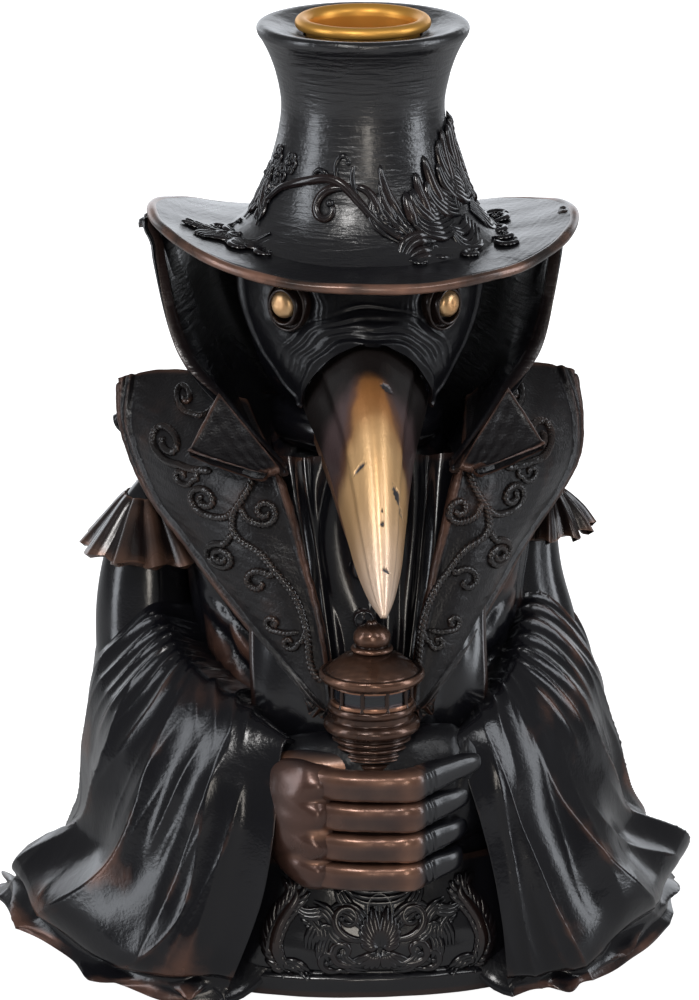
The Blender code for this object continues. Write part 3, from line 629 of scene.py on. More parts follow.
beak_gold = beak_paint()
eye_gold = painted(
    "eye_gold", (0.52, 0.28, 0.12), (0.95, 0.66, 0.36), low=-0.1, high=0.4, patchy=0.5, scale=400.0,
    metal=(0.85, 0.9), gloss=(0.36, 0.34), coat=0.2, lumps=3.0
)
brass = painted(
    "cup_brass", (0.80, 0.40, 0.075), (0.88, 0.48, 0.12), low=-0.1, high=0.3, metal=(0.72, 0.72),
    gloss=(0.42, 0.38), coat=0.0, lumps=0.2, grain=0.2, bump=0.05
)
pane = painted(
    "dark_pane", (0.012, 0.015, 0.021), (0.05, 0.05, 0.06), low=0.5, high=1.0, gloss=(0.14, 0.3), lumps=0.6
)
felt = painted(
    "base_felt", (0.010, 0.010, 0.011), (0.03, 0.03, 0.03), gloss=(0.95, 0.95), coat=0.0, lumps=0.0,
    grain=3.0, metal=(0, 0), bump=0.8
)
board = painted(
    "base_board", (0.16, 0.105, 0.065), (0.22, 0.15, 0.10), gloss=(0.8, 0.85), coat=0.0, streaks=1.0,
    metal=(0, 0), bump=0.3
)
for node, paint in (("felt_pad", felt), ("base_board", board), ("lantern_glass", pane)):
    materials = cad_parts[node].data.materials
    materials.clear()
    materials.append(paint)
print("finishes:", len(bpy.data.materials))

# %% [markdown]
# ## Robe body and skirt front
#
# The main casting is a bell of cloth. It is one stack of oval rings, pressed inwards in folds that
# grow towards the ground, because cloth hangs from the shoulders and has most to spare at the hem.
# The front panel bulges over the knees and ends in a plain band at the foot.


# %% Robe body
def oval(half_x, half_y, y, z, angle, power=2.3):
    """Superellipse: x = a sgn(cos) |cos|^(2/p), y = b sgn(sin) |sin|^(2/p)."""
    x = half_x * squared_off(np.cos(angle), power)
    return np.stack([x, y + half_y * squared_off(np.sin(angle), power), z + 0 * x], axis=-1)


def robe_body():
    """Rings between the frame's own levels, each pressed in by depth(z) (1 - pleat(15 a / 2 pi)).
    In front, slanting folds take the place of the hanging ones."""
    levels = np.array(
        [
            (45, 40, 2, 1.5), (44.3, 39.3, 2, 14), (44, 39, 2, 28), (39, 35, 2, 50), (36, 32, 1, 66),
            (37, 31, 1, 80), (38, 28, 2, 92), (34, 24, 3, 101), (25, 19, 3, 109), (17, 15, 1, 115),
        ],
        float,
    )
    fine = through(levels, 150)
    angle = full_turn(240)
    a, b, y, z = (fine[:, k][:, None] for k in range(4))
    rings = oval(a, b, y, z, angle[None, :] + 0 * a)
    turn = angle / (2 * math.pi)
    down = 1 - z / 115
    drift = 0.35 * wobble(6 * turn, 2.5 * down, 1.0)
    folds = pleat(15 * turn + drift, 0.7) - 1
    middle = np.array([0, 2.0, 0])
    out = unit((rings - middle) * [1, 1, 0])
    depth = 0.5 + 3.0 * ease(down, 0.05, 0.75) * (0.7 + 0.3 * wobble(9 * turn, 0 * down, 3.0))
    # In front the cloth is drawn down and inwards to the hands, so its folds slant under the lapels.
    slant = (z - 0.85 * np.abs(rings[..., 0])) / 6.5 + 0.35 * wobble(rings[..., 0] / 9, z / 12, 2.0)
    drawn = ease(-rings[..., 1], 8, 24) * hump(z, 66, 20)
    folds = folds * (1 - 0.7 * drawn)
    return rings + out * (folds * depth + 1.5 * drawn * (pleat(slant, 0.8) - 0.6))[..., None]


piece("robe_body", [closed_tube(robe_body())], robe_black, instead_of=["torso_casting"], reach=2.5)


# %% Skirt front
def skirt_front():
    """The front panel: a patch, proud by 0.9 mm in a band below z = 5.5."""
    net = both_halves(
        [
            [(0, -47, 30), (14, -46.5, 30), (26, -43, 31), (34, -36, 32)],
            [(0, -50.5, 21), (14, -49.5, 21), (27, -45, 21), (36, -36, 21)],
            [(0, -53, 11), (15, -51.5, 11), (29, -46.5, 11), (38, -36, 11)],
            [(0, -52.4, 1.2), (15, -51, 1.2), (29, -45.5, 1.2), (38, -35, 1.2)],
        ]
    )
    grid = patch(net, 110, 220)
    out = grid_normals(grid)
    out = out * np.sign(-out[..., 1:2])
    z = grid[..., 2]
    band = 0.9 * ease(-z, -6.4, -5.2) - 0.5 * hump(z, 6.6, 0.5)
    return grid + out * (band + 0.12 * wobble(grid[..., 0] / 4, z / 3))[..., None]


skirt = skirt_front()
skirt_out = grid_normals(skirt)
skirt_side = turned_forwards(skirt_out)
piece("skirt_front", [walled(skirt, 6.0, skirt_side)], black, instead_of=["robe_front"])

# %% [markdown]
# ## Sleeves
#
# The arms rest in front and the wide sleeves fall from them to the ground, so every fold starts in
# the crook of the elbow, runs over the forearm and opens towards the hem. A cloth simulation would
# find soft folds, but this cloth is carved: fat rounded folds with a knife-thin crease between
# them. So the sleeve is a patch over the arm, and the folds are cut into it as a function of the
# two directions of the patch: u from the cuff to the back, v from the crook to the hem.


# %% Sleeve nets
SLEEVE_NET = np.array(
    [
        [
            (13, -44, 52), (18, -50, 58.5), (21, -54, 48), (23.5, -56, 36), (26, -57, 22),
            (29, -56, 9), (31, -52, 1.5),
        ],
        [
            (23, -33, 59), (28, -42, 63), (35, -48, 51), (37.5, -50, 37), (40, -51.5, 22),
            (44.5, -51.5, 10), (48, -47.5, 2.5),
        ],
        [
            (32, -22, 64), (40, -28, 68), (49, -34, 56), (52.5, -36, 40), (55, -37.5, 26),
            (61.5, -37.5, 13), (64.8, -31, 4),
        ],
        [
            (36, -12, 67), (46, -14, 73), (56.5, -14, 60), (59.5, -12, 44), (60.5, -12, 29),
            (75, -8, 18), (75.4, -4, 8),
        ],
        [(38, 2, 78), (49, 3, 78), (57.5, 6, 66), (59, 7, 46), (59.5, 8, 27), (67, 11, 14), (74, 14, 4)],
        [(34, 19, 84), (40, 22, 80), (44, 26, 66), (45, 28, 48), (46, 30, 31), (49, 32, 15), (52, 34, 1.2)],
    ],
    float,
)
SLEEVE_ROWS, SLEEVE_COLUMNS = 232, 190
LINING_COLUMNS = 14
# Rings that turn the cuff in and round the back off: (size, distance along the arm).
CUFF_STEPS = (
    (0.45, 24), (0.60, 21), (0.74, 15), (0.84, 9), (0.90, 4.5), (0.93, 1.8), (0.95, 0.5), (0.975, -0.1),
)
BACK_STEPS = ((0.985, 1.0), (0.95, 2.2), (0.88, 3.4), (0.76, 4.4), (0.58, 5.2), (0.34, 5.7))


def settled(points, narrow=0.0):
    """The cast is not quite even: each side is pressed in, x by up to 5.4 mm on the figure's left and
    2.6 mm on its right, most at the height of the elbows. narrow presses the left side in further
    over the arm, and the outermost part of the left hem comes in by up to 5 mm more."""
    x, z = points[..., 0], points[..., 2]
    left = (3.4 + 2.0 * hump(z, 72, 26)) * ease(x, 15, 50) * (0.5 + 0.5 * ease(z, 15, 45))
    left += narrow * (0.5 * ease(z, 25, 50) + 0.5 * hump(z, 80, 14)) * ease(x, 25, 45)
    left += 5.0 * ease(-z, -24, -10) * ease(x, 48, 66)
    right = 2.6 * hump(z, 70, 26) * ease(-x, 25, 50)
    return points + np.stack([right - left, 0 * x, 0 * x], axis=-1)


def cuff_roll(ring, inward):
    """Rings that turn the cuff's edge in: the first ring shrunk about its centre and pushed back."""
    middle = ring.mean(axis=0)
    return np.stack([middle + (ring - middle) * size + inward * depth for size, depth in CUFF_STEPS])


def sleeve(side, seed):
    """The patch moved along its normal by
    - fall (1 - pleat) for the long folds, deeper towards the hem, with a second, sparser set,
    - crook (1 - pleat) for the fine folds that fan out over the elbow,
    - hairline (1 - pleat) for narrow creases beside the long folds,
    - bells at the hem for its rolled lip, and for the hollows under it."""
    fine = patch(SLEEVE_NET * [side, 1, 1], SLEEVE_ROWS, SLEEVE_COLUMNS)
    u, v = np.meshgrid(np.linspace(0, 1, SLEEVE_ROWS), np.linspace(0, 1, SLEEVE_COLUMNS), indexing="ij")
    out = grid_normals(fine) * side
    # Long folds: their lines drift towards the back on the way down.
    lines = 5.6 * u - 1.15 * ease(v, 0.36, 1.04) * ease(u, 0.05, 0.5)
    lines = lines + 0.36 * wobble(5 * u, 1.1 * v, seed) + 0.2 * seed
    share = (0.62 + 0.38 * wobble(7 * u, 0.5 * v, seed + 1)) * (1 - 0.45 * ease(v, 0.8, 1.0))
    fall = (0.3 + 4.2 * ease(v, 0.14, 0.7)) * share * ease(u, -0.05, 0.08)
    # Fine folds, crowded in the crook and spent before the forearm's side.
    # Over the elbow they run out of the crook side by side, and on the forearm they are slanting darts.
    crowd = np.where(u > 0.36, 20 * u - 3 * v, 15 * u + 5 * v) + 0.8 * wobble(5 * u, 3 * v, seed + 2)
    reach = np.where(u > 0.36, 1 - ease(v, 0.16, 0.48), hump(v, 0.10, 0.10))
    reach = reach * ease(np.abs(u - 0.36), 0.01, 0.05)
    crook = 1.5 * reach * ease(u, 0.08, 0.2) * (0.65 + 0.35 * wobble(8 * u, 2 * v, seed + 3))
    crook = crook * ease(v, 0.01, 0.05)
    # Hairline creases beside the long folds.
    hair = 13.5 * u - 1.3 * v + 0.6 * wobble(4 * u, 2.2 * v, seed + 5)
    hairline = 0.40 * ease(v, 0.25, 0.5) * ease(-v, -0.93, -0.8)
    hairline = hairline * ease(wobble(7 * u, 3 * v, seed + 6), -0.2, 0.4)
    second = 11.5 * u - 2.3 * ease(v, 0.2, 1.0) * ease(u, 0.05, 0.5)
    second = second + 0.6 * wobble(4 * u, 1.5 * v, seed + 8)
    some = ease(wobble(6 * u, 2.2 * v, seed + 9), -0.3, 0.5) * ease(v, 0.15, 0.45) * ease(u, 0.0, 0.1)
    move = -fall * (1 - 0.72 * pleat(lines, 1.15) - 0.28 * pleat(lines, 0.25))
    move -= 0.9 * some * (1 - pleat(second, 0.9))
    move -= crook * (1 - pleat(crowd, 0.7)) + hairline * (1 - pleat(hair, 0.22))
    move += 0.7 * wobble(5 * u, 4 * v, seed + 7) * ease(v, 0.2, 0.5)
    # The hem: a fat rolled lip that turns under, opened by a hollow here and there.
    low = v + 0.03 * np.sin(11 * u + 2 * seed) * ease(v, 0.7, 0.9)
    move += 1.3 * hump(low, 0.925, 0.03) - 2.6 * ease(low, 0.965, 1.02)
    for place, wide in ((0.09, 0.030), (0.30, 0.05), (0.52, 0.055), (0.72, 0.05)):
        gap = hump(u, place + 0.03 * seed, wide)
        move += 1.2 * gap * hump(low, 0.925, 0.018) - 3.6 * gap * hump(low, 0.965, 0.013)
    fine = fine + out * move[..., None]
    # The crook's edge is drawn in under the lapel, so that no rim shows there.
    tuck = ease(-v, -0.13, 0.0) * ease(u, 0.12, 0.3)
    fine = fine + tuck[..., None] * [-6.0 * side, 6.0, -1.0]
    # The cuff's edge itself waves in and out.
    sway = 1.3 * np.sin(7.5 * v + 2 * seed) * ease(-u, -0.2, 0.0) * ease(v, 0.05, 0.3)
    fine = fine + np.stack([side * sway, 0.5 * sway, 0 * v], axis=-1)
    # The hidden lining goes level from the hem to under the crook, then up: a curve with one handle.
    t = np.linspace(0.06, 0.94, LINING_COLUMNS)[None, :, None]
    hem, crook_line = fine[:, -1:], fine[:, :1]
    handle = np.concatenate([crook_line[..., :2], hem[..., 2:]], axis=-1)
    inner = hem * (1 - t) ** 2 + handle * 2 * t * (1 - t) + crook_line * t**2
    rings = np.concatenate([fine, inner], axis=1)
    inward = unit(rings[12].mean(axis=0) - rings[0].mean(axis=0))
    # Behind, the cloth is rounded off.
    last = rings[-1].mean(axis=0)
    outward = unit(last - rings[-13].mean(axis=0))
    rounded = [last + (rings[-1] - last) * size + outward * depth for size, depth in BACK_STEPS]
    # The paste stays off the crook and off everything inside.
    shade = np.concatenate([ease(-v, -0.28, -0.14), np.ones((SLEEVE_ROWS, LINING_COLUMNS))], axis=1)
    around = shade.shape[1]
    shade = np.concatenate(
        [np.ones((len(CUFF_STEPS), around)), shade, np.full((len(BACK_STEPS), around), 0.6)]
    )
    rings = np.concatenate([cuff_roll(rings[0], inward), rings, rounded])
    shape = closed_tube(settled(rings, 4.4), push=(-0.5, 0))
    return shape, {"shade": np.concatenate([shade.ravel(), [1, 1]])}


def upper_arm(side):
    """A smooth tube from the shoulder into the elbow's folds, with two shallow dents down it."""
    path = through([(43, 7, 98), (46, 5, 92), (47.5, 4, 82), (48.5, 3, 70), (48, 0, 58)], 60) * [side, 1, 1]
    across, over = frame_along(path, (0, -1, 0))
    angle = full_turn(72)
    radius = 10.6 + 0.5 * np.cos(2 * angle[None, :]) - 0.5 * hump(angle[None, :], 2.2, 0.25)
    radius = radius * (0.50 + 0.50 * ease(np.linspace(0, 1, 60), -0.1, 0.75))[:, None]
    rings = path[:, None] + (radius * np.cos(angle))[..., None] * across[:, None]
    return closed_tube(settled(rings + (radius * np.sin(angle))[..., None] * over[:, None], 7.5))


for side, name, seed in ((RIGHT, "sleeve_cloth_right", 0.4), (LEFT, "sleeve_cloth_left", 1.7)):
    old = "sleeve_right" if side == RIGHT else "sleeve_left"
    shape, marks = sleeve(side, seed)
    piece(name, [shape], robe_black, instead_of=[old], marks=marks, reach=3.0, sharp=75)
    piece(name.replace("sleeve_cloth", "upper_arm"), [upper_arm(side)], black, reach=1.5)

# %% [markdown]
# ## Shoulder ruffles
#
# A gathered ruffle hangs over each upper arm from under the mantle. Gathers are a wave whose
# height grows from the seam to the free edge, so the ruffle is a fan of rings with a wave added
# across it, given a wall, and rubbed with bronze on the crests.


# %% Ruffles
def ruffle(side, count=11):
    """reach(t) and z(t) are a curve from seam to edge, and the wave adds up to 1.3 mm sin(count a)."""
    edge = [(9.2, 91.5), (14.0, 86.0)] if side == RIGHT else [(8.0, 93.0), (10.4, 89.2)]
    profile = through([(4.0, 97.5), (5.6, 95.8)] + edge, 36)
    angle = np.radians(np.linspace(-132, 80, 260))
    t = np.linspace(0, 1, 36)[:, None]
    wave = np.sin(count * angle + 0.8 * np.sin(3 * angle + side)) + 0.25 * np.sin(2.1 * count * angle)
    reach = profile[:, :1] + (0.25 + 1.05 * t) * wave[None, :]
    z = profile[:, 1:] + 0.5 * t * np.cos(count * angle)[None, :]
    x = 46 * side + side * reach * np.cos(angle)
    y = 4 + 1.15 * reach * np.sin(angle)
    return walled(settled(np.stack([x, y, z + 0 * x], axis=-1)), 1.5, 1.0)


for side, name in ((RIGHT, "right"), (LEFT, "left")):
    piece(
        "ruffle_" + name, [ruffle(side)], ruffle_bronze, instead_of=["shoulder_frill_" + name],
        reach=1.2
    )

# %% [markdown]
# ## Laying a drawing on a surface
#
# The embroidery on the lapels and the carving on the skirt are drawn flat, as seen from the front,
# and dropped onto the cloth under them, the way a stencil is pressed on. For each drawn point, the
# nearest grid point of the cloth gives a place and a tangent plane, and the plane gives the depth.


# %% Dropping flat drawings onto cloth
def drop_onto(flat, grid, out):
    """(x, z) points to (x, y, z) with y = y0 - (nx (x - x0) + nz (z - z0)) / ny, and the normals there."""
    spots, normals = grid.reshape(-1, 3), out.reshape(-1, 3)
    flat = np.asarray(flat, float)
    gap = ((flat[:, None, :] - spots[None, :, [0, 2]]) ** 2).sum(axis=2)
    near = gap.argmin(axis=1)
    base, normal = spots[near], normals[near]
    step = flat - base[:, [0, 2]]
    y = base[:, 1] - (normal[:, 0] * step[:, 0] + normal[:, 2] * step[:, 1]) / normal[:, 1]
    return np.stack([flat[:, 0], y, flat[:, 1]], axis=1), normal


def spiral(centre, radius, start, turns, sense, inner=0.22, count=70):
    """r shrinks from radius to inner radius while the angle goes from start through so many turns."""
    t = np.linspace(0, 1, count)
    angle = math.radians(start) + sense * 2 * math.pi * turns * t
    r = radius * (1 - (1 - inner) * t**0.85)
    return np.asarray(centre, float) + np.stack([r * np.cos(angle), r * np.sin(angle)], axis=1)


def evenly(points, spacing):
    """A path's points moved along it so that they are spacing apart."""
    points = np.asarray(points, float)
    run = np.concatenate([[0], np.cumsum(np.linalg.norm(np.diff(points, axis=0), axis=1))])
    s = np.linspace(0, run[-1], max(int(run[-1] / spacing), 6))
    return np.stack([np.interp(s, run, points[:, k]) for k in range(points.shape[1])], axis=1)


def relaxed(path, rounds=6):
    """Each inner point moved to the average of itself and its neighbours, some rounds over."""
    path = np.array(path, float)
    for _ in range(rounds):
        path[1:-1] = (path[:-2] + 2 * path[1:-1] + path[2:]) / 4
    return path


def rope(flat, grid, out, radius, strands=3, pitch=3.3, lift=0.25):
    """A twisted cord laid along a drawn line: its middle is lift radii above the cloth."""
    path, normal = drop_onto(evenly(flat, 0.24), grid, out)
    path = relaxed(path + relaxed(normal) * radius * lift)
    ends = np.minimum(1, 0.45 + 0.18 * np.minimum(np.arange(len(path)), np.arange(len(path))[::-1]))
    return carried(path, radius * ends, up=relaxed(normal), sides=14, strands=strands, pitch=pitch)


print("a spiral's last point:", spiral((0, 0), 3.0, 0, 1.5, 1)[-1].round(2))

# %% [markdown]
# ## Coat lapels
#
# Two broad leaf-shaped lapels run from the shoulders to a point at the waist. Each is a stiff
# shell, edged by a double line of piping, and embroidered with a twisted cord: a stem that winds
# down the leaf, with a curl at each bend. The finish is pitted and dull, with copper rubbed over
# the cord and along the edges.


# %% Lapels and their cords
LAPEL_NET = [
    [(24, -4, 120.5), (33, 3, 125), (42, 7, 125.5), (51, 6, 124)],
    [(20, -34, 114), (31, -27, 114), (42, -14, 113.5), (51, 2, 114)],
    [(15, -40, 97), (25.5, -36.5, 97.5), (37, -25, 100), (47, -6, 103)],
    [(11, -44, 80), (18, -42, 82), (27, -34.5, 86), (36, -21, 89.5)],
    [(8.5, -46.5, 63), (9.6, -46.5, 63.2), (10.8, -46.2, 63.6), (12, -45.8, 64)],
]
LAPEL_CENTRE = -1.7  # the two drawings mirror about this x
STEM = [
    (-25.7, 115.6), (-24.9, 111.3), (-27.0, 107.0), (-28.5, 104.4), (-28.9, 100.8), (-27.6, 98.6),
    (-23.4, 96.3), (-20.0, 92.4), (-16.7, 88.4), (-14.6, 83.4), (-13.7, 78.6), (-13.3, 74.3),
    (-12.5, 71.8), (-11.2, 70.3), (-9.8, 71.0), (-10.2, 72.4), (-11.2, 72.2),
]
# Each curl: where it leaves the stem, a point on the way, centre, radius, start angle, turns, sense.
CURLS = [
    ((-28.2, 105.0), (-30.5, 102.6), (-34.5, 105.4), 3.3, -80, 1.45, -1),
    ((-27.4, 106.0), (-26.0, 103.2), (-22.3, 105.1), 3.0, -110, 1.35, 1),
    ((-28.7, 99.8), (-30.0, 97.8), (-31.2, 93.7), 3.3, 75, 1.9, 1),
    ((-20.2, 92.6), (-21.0, 92.4), (-23.9, 89.8), 3.2, 30, 1.0, 1),
    ((-15.5, 80.2), (-18.0, 79.6), (-20.8, 81.4), 1.9, -60, 1.2, -1),
    ((-14.0, 80.8), (-15.0, 78.0), (-17.4, 77.6), 1.9, 20, 1.1, -1),
    ((-33.0, 111.6), (-37.0, 110.9), (-41.6, 114.4), 3.8, -60, 1.5, -1),
    ((-36.0, 111.3), (-35.9, 109.0), (-38.9, 109.0), 2.2, 10, 1.1, -1),
    ((-30.5, 121.5), (-34.0, 119.7), (-37.4, 121.9), 2.3, -70, 1.3, -1),
]


def lapel(side):
    """The patch with rounded ridges 0.5 and 2.3 mm from its outer edge, one on its inner edge, and pits."""
    grid, _, w = sheet(np.array(LAPEL_NET) * [side, 1, 1], 160, 96)
    grid = settled(grid)
    # The outer edge on the figure's left keeps its full breadth at the height of the shoulder.
    grid[..., 0] += 3.0 * hump(grid[..., 2], 106, 12) * ease(grid[..., 0], 28, 45)
    out = grid_normals(grid)
    facing = turned_forwards(out)
    width = np.linalg.norm(grid[:, -1] - grid[:, 0], axis=1)[:, None]
    edge, inner = (1 - w) * width, w * width
    raise_by = 0.55 * hump(edge, 0.5, 0.6) + 0.75 * hump(edge, 2.3, 0.75) - 0.30 * hump(edge, 3.5, 0.5)
    raise_by += 0.5 * hump(inner, 0.4, 0.8) + 0.08 * wobble(grid[..., 0] / 1.7, grid[..., 2] / 1.3, side)
    raise_by += 0.25 * wobble(grid[..., 0] / 7, grid[..., 2] / 9, 2 + side)
    return grid + out * facing * raise_by[..., None], out * facing, facing


def lapel_cords(side, grid, out):
    """The stem and its curls: the drawing is made for the right side and mirrored for the left."""
    def turned_over(flat):
        flat = np.asarray(flat, float)
        return flat if side == RIGHT else flat * [-1, 1] + [2 * LAPEL_CENTRE, 0]

    parts = [rope(turned_over(through(STEM, 160)), grid, out, 0.82)]
    for leave, way, centre, radius, start, turns, sense in CURLS:
        curl = spiral(centre, radius, start, turns, sense)
        line = np.concatenate([through([leave, way, curl[0]], 14)[:-1], curl])
        parts.append(rope(turned_over(relaxed(line, 3)), grid, out, 0.48 + 0.09 * radius, pitch=2.6))
    return parts


for side, name in ((RIGHT, "right"), (LEFT, "left")):
    grid, out, facing = lapel(side)
    piece(
        "lapel_cloth_" + name, [walled(grid, 2.4, facing)], lapel_black, instead_of=["lapel_" + name],
        reach=1.6
    )
    trimmed = slice(3, -13)  # the piping stops short of the lapel's two ends
    border = grid[trimmed, -1] - out[trimmed, -1] * 0.9
    ends = np.sqrt(np.clip(1 - np.linspace(-1, 1, len(border)) ** 40, 0.02, 1))
    piping = carried(border, 1.25 * ends, up=out[trimmed, -1], sides=12)
    piece("lapel_edge_" + name, [piping], lapel_black, instead_of=["lapel_piping_" + name], reach=2.4)
    piece(
        "lapel_cord_" + name, lapel_cords(side, grid, out), cord_black,
        instead_of=["lapel_scroll_" + name], reach=1.0
    )

# %% [markdown]
# ## Waistcoat, neck cloth, mantle and head
#
# Between the lapels the coat's edges fall as two smooth bands, and the cloth between them hangs in
# long thin pleats from the neck. Behind, a short mantle covers the shoulders. The head is a plain
# core that only holds the hat and mask together, so it stays smooth.


# %% Waistcoat and buttons
def waistcoat():
    """Pleats run down the middle, and a smooth band, 1.5 mm proud, runs down each side of them."""
    net = both_halves(
        [
            [(0, -30, 115), (8, -29, 115), (15, -26, 114), (23, -21, 113)],
            [(0, -36, 95), (8, -35.6, 95), (16, -34, 95), (24, -29, 95)],
            [(0, -40, 78), (8, -40, 78), (16, -38, 78), (24, -33, 78)],
            [(0, -43, 60), (8, -42.5, 60), (16, -40, 60), (24, -36, 60)],
            [(0, -42, 44), (8, -41, 44), (16, -38, 44), (24, -34, 44)],
        ]
    )
    grid = patch(net, 110, 170)
    out = grid_normals(grid)
    facing = turned_forwards(out)
    x, z = grid[..., 0], grid[..., 2]
    bowed = x - 0.05 * (z - 80) * np.sign(x)
    inner = 15.5 - 0.13 * (115 - z)
    pleats = pleat(bowed / 6.5 + 0.6 * wobble(x / 9, z / 25, 1.0), 1.1) - 1
    pleats = pleats * (0.55 + 0.45 * wobble(x / 4, z / 16, 2.0))
    middle = ease(-np.abs(x), -inner, -inner + 2.5)
    band = ease(np.abs(x), inner - 1.5, inner + 0.6)
    raise_by = 1.5 * pleats * middle + band * 1.5 - 0.9 * hump(np.abs(x), inner - 1.6, 1.1)
    raise_by += band * 0.35 * wobble(x / 3, z / 14, 4.0)
    return grid + out * facing * raise_by[..., None], facing


cloth, facing = waistcoat()
piece("waistcoat_cloth", [walled(cloth, 3.0, facing)], black, instead_of=["waistcoat"], reach=2.0)

BUTTON = [
    (0.0, -2.2), (1.5, -2.0), (2.2, -1.2), (2.35, 0), (2.2, 0.9), (1.9, 1.2), (1.75, 1.0), (1.3, 1.15),
    (0.6, 1.5), (0, 1.6),
]
for number, (x, y, z) in enumerate([(-1.5, -38.4, 92.5), (-1.5, -41.0, 82.0)], 1):
    points, faces = turned(through(BUTTON, 60), sides=48)
    # Laid over, so that the lathe's axis points forwards instead of up.
    laid = np.stack([points[:, 0], -points[:, 2], points[:, 1]], axis=1) + [x, y, z]
    piece(f"button_{number}", [(laid, faces)], black, instead_of=[f"waistcoat_button_{number}"], reach=0.8)


# %% Neck cloth, mantle and head
def neck_wrap():
    """A ring 4.6 thick by 4.4 high, its section pressed by folds that run round it at a slant."""
    around = full_turn(220)[:, None]
    a = full_turn(72)[None, :]
    fold = 1 - 0.16 * (1 - pleat(3 * a / (2 * math.pi) + 0.35 * np.sin(2 * around), 0.6))
    reach = 14.5 + 4.6 * fold * np.cos(a)
    x, y = reach * np.sin(around), -4 - 1.2 * reach * np.cos(around)
    rings = np.stack([x, y, 117.5 + 4.9 * fold * np.sin(a) + 0 * around], axis=-1)
    index = np.concatenate([np.arange(220), [0]])
    faces = loop_faces(221, 72)
    return rings.reshape(-1, 3), (index[faces // 72] * 72 + faces % 72)


def mantle():
    """The shoulder cape: shallow folds that deepen downwards, and a ridge of piping by the lower edge."""
    net = both_halves(
        [
            [(0, 22, 117), (13, 19, 117.5), (22, 9, 119), (26, 2, 121)],
            [(0, 33, 110), (18, 29, 112), (33, 17, 117), (39, 8, 123)],
            [(0, 39, 98), (22, 35, 101), (40, 24, 108), (50, 9, 121)],
            [(0, 43, 84), (24, 39, 88), (44, 28, 98), (52, 11, 113)],
        ]
    )
    grid, t, w = sheet(net, 90, 220, -1)
    out = grid_normals(grid)
    facing = turned_away(grid, out, [0, 0, 90])
    folds = (pleat(7 * w + 0.5 + 0.15 * wobble(4 * w, 2 * t, 2.0), 0.8) - 1) * 1.6 * ease(t, 0.1, 1.0)
    hem = 0.8 * hump(t, 0.965, 0.022) - 0.4 * hump(t, 0.92, 0.02)
    return walled(settled(grid + out * facing * (folds + hem)[..., None]), 2.6, facing)


def head_core():
    levels = [
        (13, 13, 0, 115.35), (15, 16, -2, 119), (20, 22, -4, 127), (23.5, 24, -3, 137), (24, 24, -2, 147),
        (22, 22, -1, 153)
    ]
    fine = through(levels, 90)
    angle = full_turn(128)[None, :]
    a, b, y, z = (fine[:, k][:, None] for k in range(4))
    ripple = 1 + 0.006 * wobble(3 * angle, z / 6, 1.0) * np.sin(angle / 2) ** 2
    return closed_tube(oval(a * ripple, b * ripple, y, z, angle, 2.0))


piece("neck_folds", [neck_wrap()], black, instead_of=["neck_cloth"], reach=1.5)
piece("shoulder_mantle", [mantle()], robe_black, instead_of=["mantle_back"], reach=2.0)
piece("hooded_head", [head_core()], black, instead_of=["head"])

# %% [markdown]
# ## Collar and its turned corners
#
# The stand collar is as tall as the head: it flares up to the brim at both sides and dips in
# front. A net of four lines goes right round, from one front edge past the back to the other. The
# corners that turn down in front are small triangular shells with a raised edge.


# %% Collar
COLLAR_HALF = [
    [(0, 20, 112), (0, 27, 122), (0, 34, 134), (0, 38, 146)],
    [(14, 16, 112), (21, 21, 122), (28, 26, 136), (32, 30, 150)],
    [(20, 0, 112), (28, 3, 122), (36, 5, 138), (42.5, 6, 157.5)],
    [(21, -18, 112), (29, -11, 122), (38, -3, 137), (45.5, 3, 160.3)],
    [(19, -36, 113), (29.5, -21.5, 122.5), (39.5, -8.5, 134), (45.5, -0.5, 160)],
]
FLAP_NET = [
    [(31, -21, 127), (27, -27, 123), (23, -33, 119), (19.5, -39, 115.5)],
    [(34, -25, 122.5), (30, -30, 120), (26, -35, 117.5), (22, -39.5, 115)],
    [(38, -29.5, 116.5), (33, -33.5, 115.8), (28, -37, 115), (23, -40.5, 114.3)],
]


def stand_collar():
    half = np.array(COLLAR_HALF, float)
    grid = patch(np.concatenate([half[:0:-1] * [-1, 1, 1], half]), 230, 84)
    out = grid_normals(grid)
    facing = turned_away(grid, out, [0, 0, 130])
    u, v = np.meshgrid(np.linspace(-1, 1, 230), np.linspace(0, 1, 84), indexing="ij")
    soft = 0.45 * wobble(3 * u, 2 * v, 1.0) * ease(v, 0.1, 0.6)
    roll = 0.5 * hump(v, 0.985, 0.02) - 0.25 * hump(v, 0.94, 0.02)
    front = 0.5 * hump(np.abs(u), 0.985, 0.012) - 0.3 * hump(np.abs(u), 0.955, 0.012)
    return walled(grid + out * facing * (soft + roll + front)[..., None], 2.2, facing)


def collar_flap(side):
    """The triangular shell with its lower and outer edges raised by 0.6 mm, and slightly hollow between."""
    grid, t, w = sheet(np.array(FLAP_NET) * [side, 1, 1], 80, 84)
    out = grid_normals(grid)
    facing = turned_forwards(out)
    edge = 0.55 * hump(t, 0.975, 0.03) + 0.4 * hump(w, 0.02, 0.03)
    hollow = -0.8 * np.sin(np.pi * t) * np.sin(np.pi * w) + 0.12 * wobble(8 * t, 9 * w, side)
    return walled(grid + out * facing * (edge + hollow)[..., None], 1.8, facing)


piece("tall_collar", [stand_collar()], hat_black, instead_of=["stand_collar"], reach=2.0)
for side, name in ((RIGHT, "right"), (LEFT, "left")):
    piece(
        "collar_corner_" + name, [collar_flap(side)], lapel_black, instead_of=["collar_flap_" + name],
        reach=1.5
    )

# %% [markdown]
# ## Mask
#
# The mask is stiff leather, creased where it bends: in nested arches over the root of the beak, in
# rings round the eyes, and in furrows between them. All of these are distances. A crease is a
# narrow valley where a distance, say from an eye, crosses a certain value, so one function that
# cuts valleys at chosen distances draws them all.


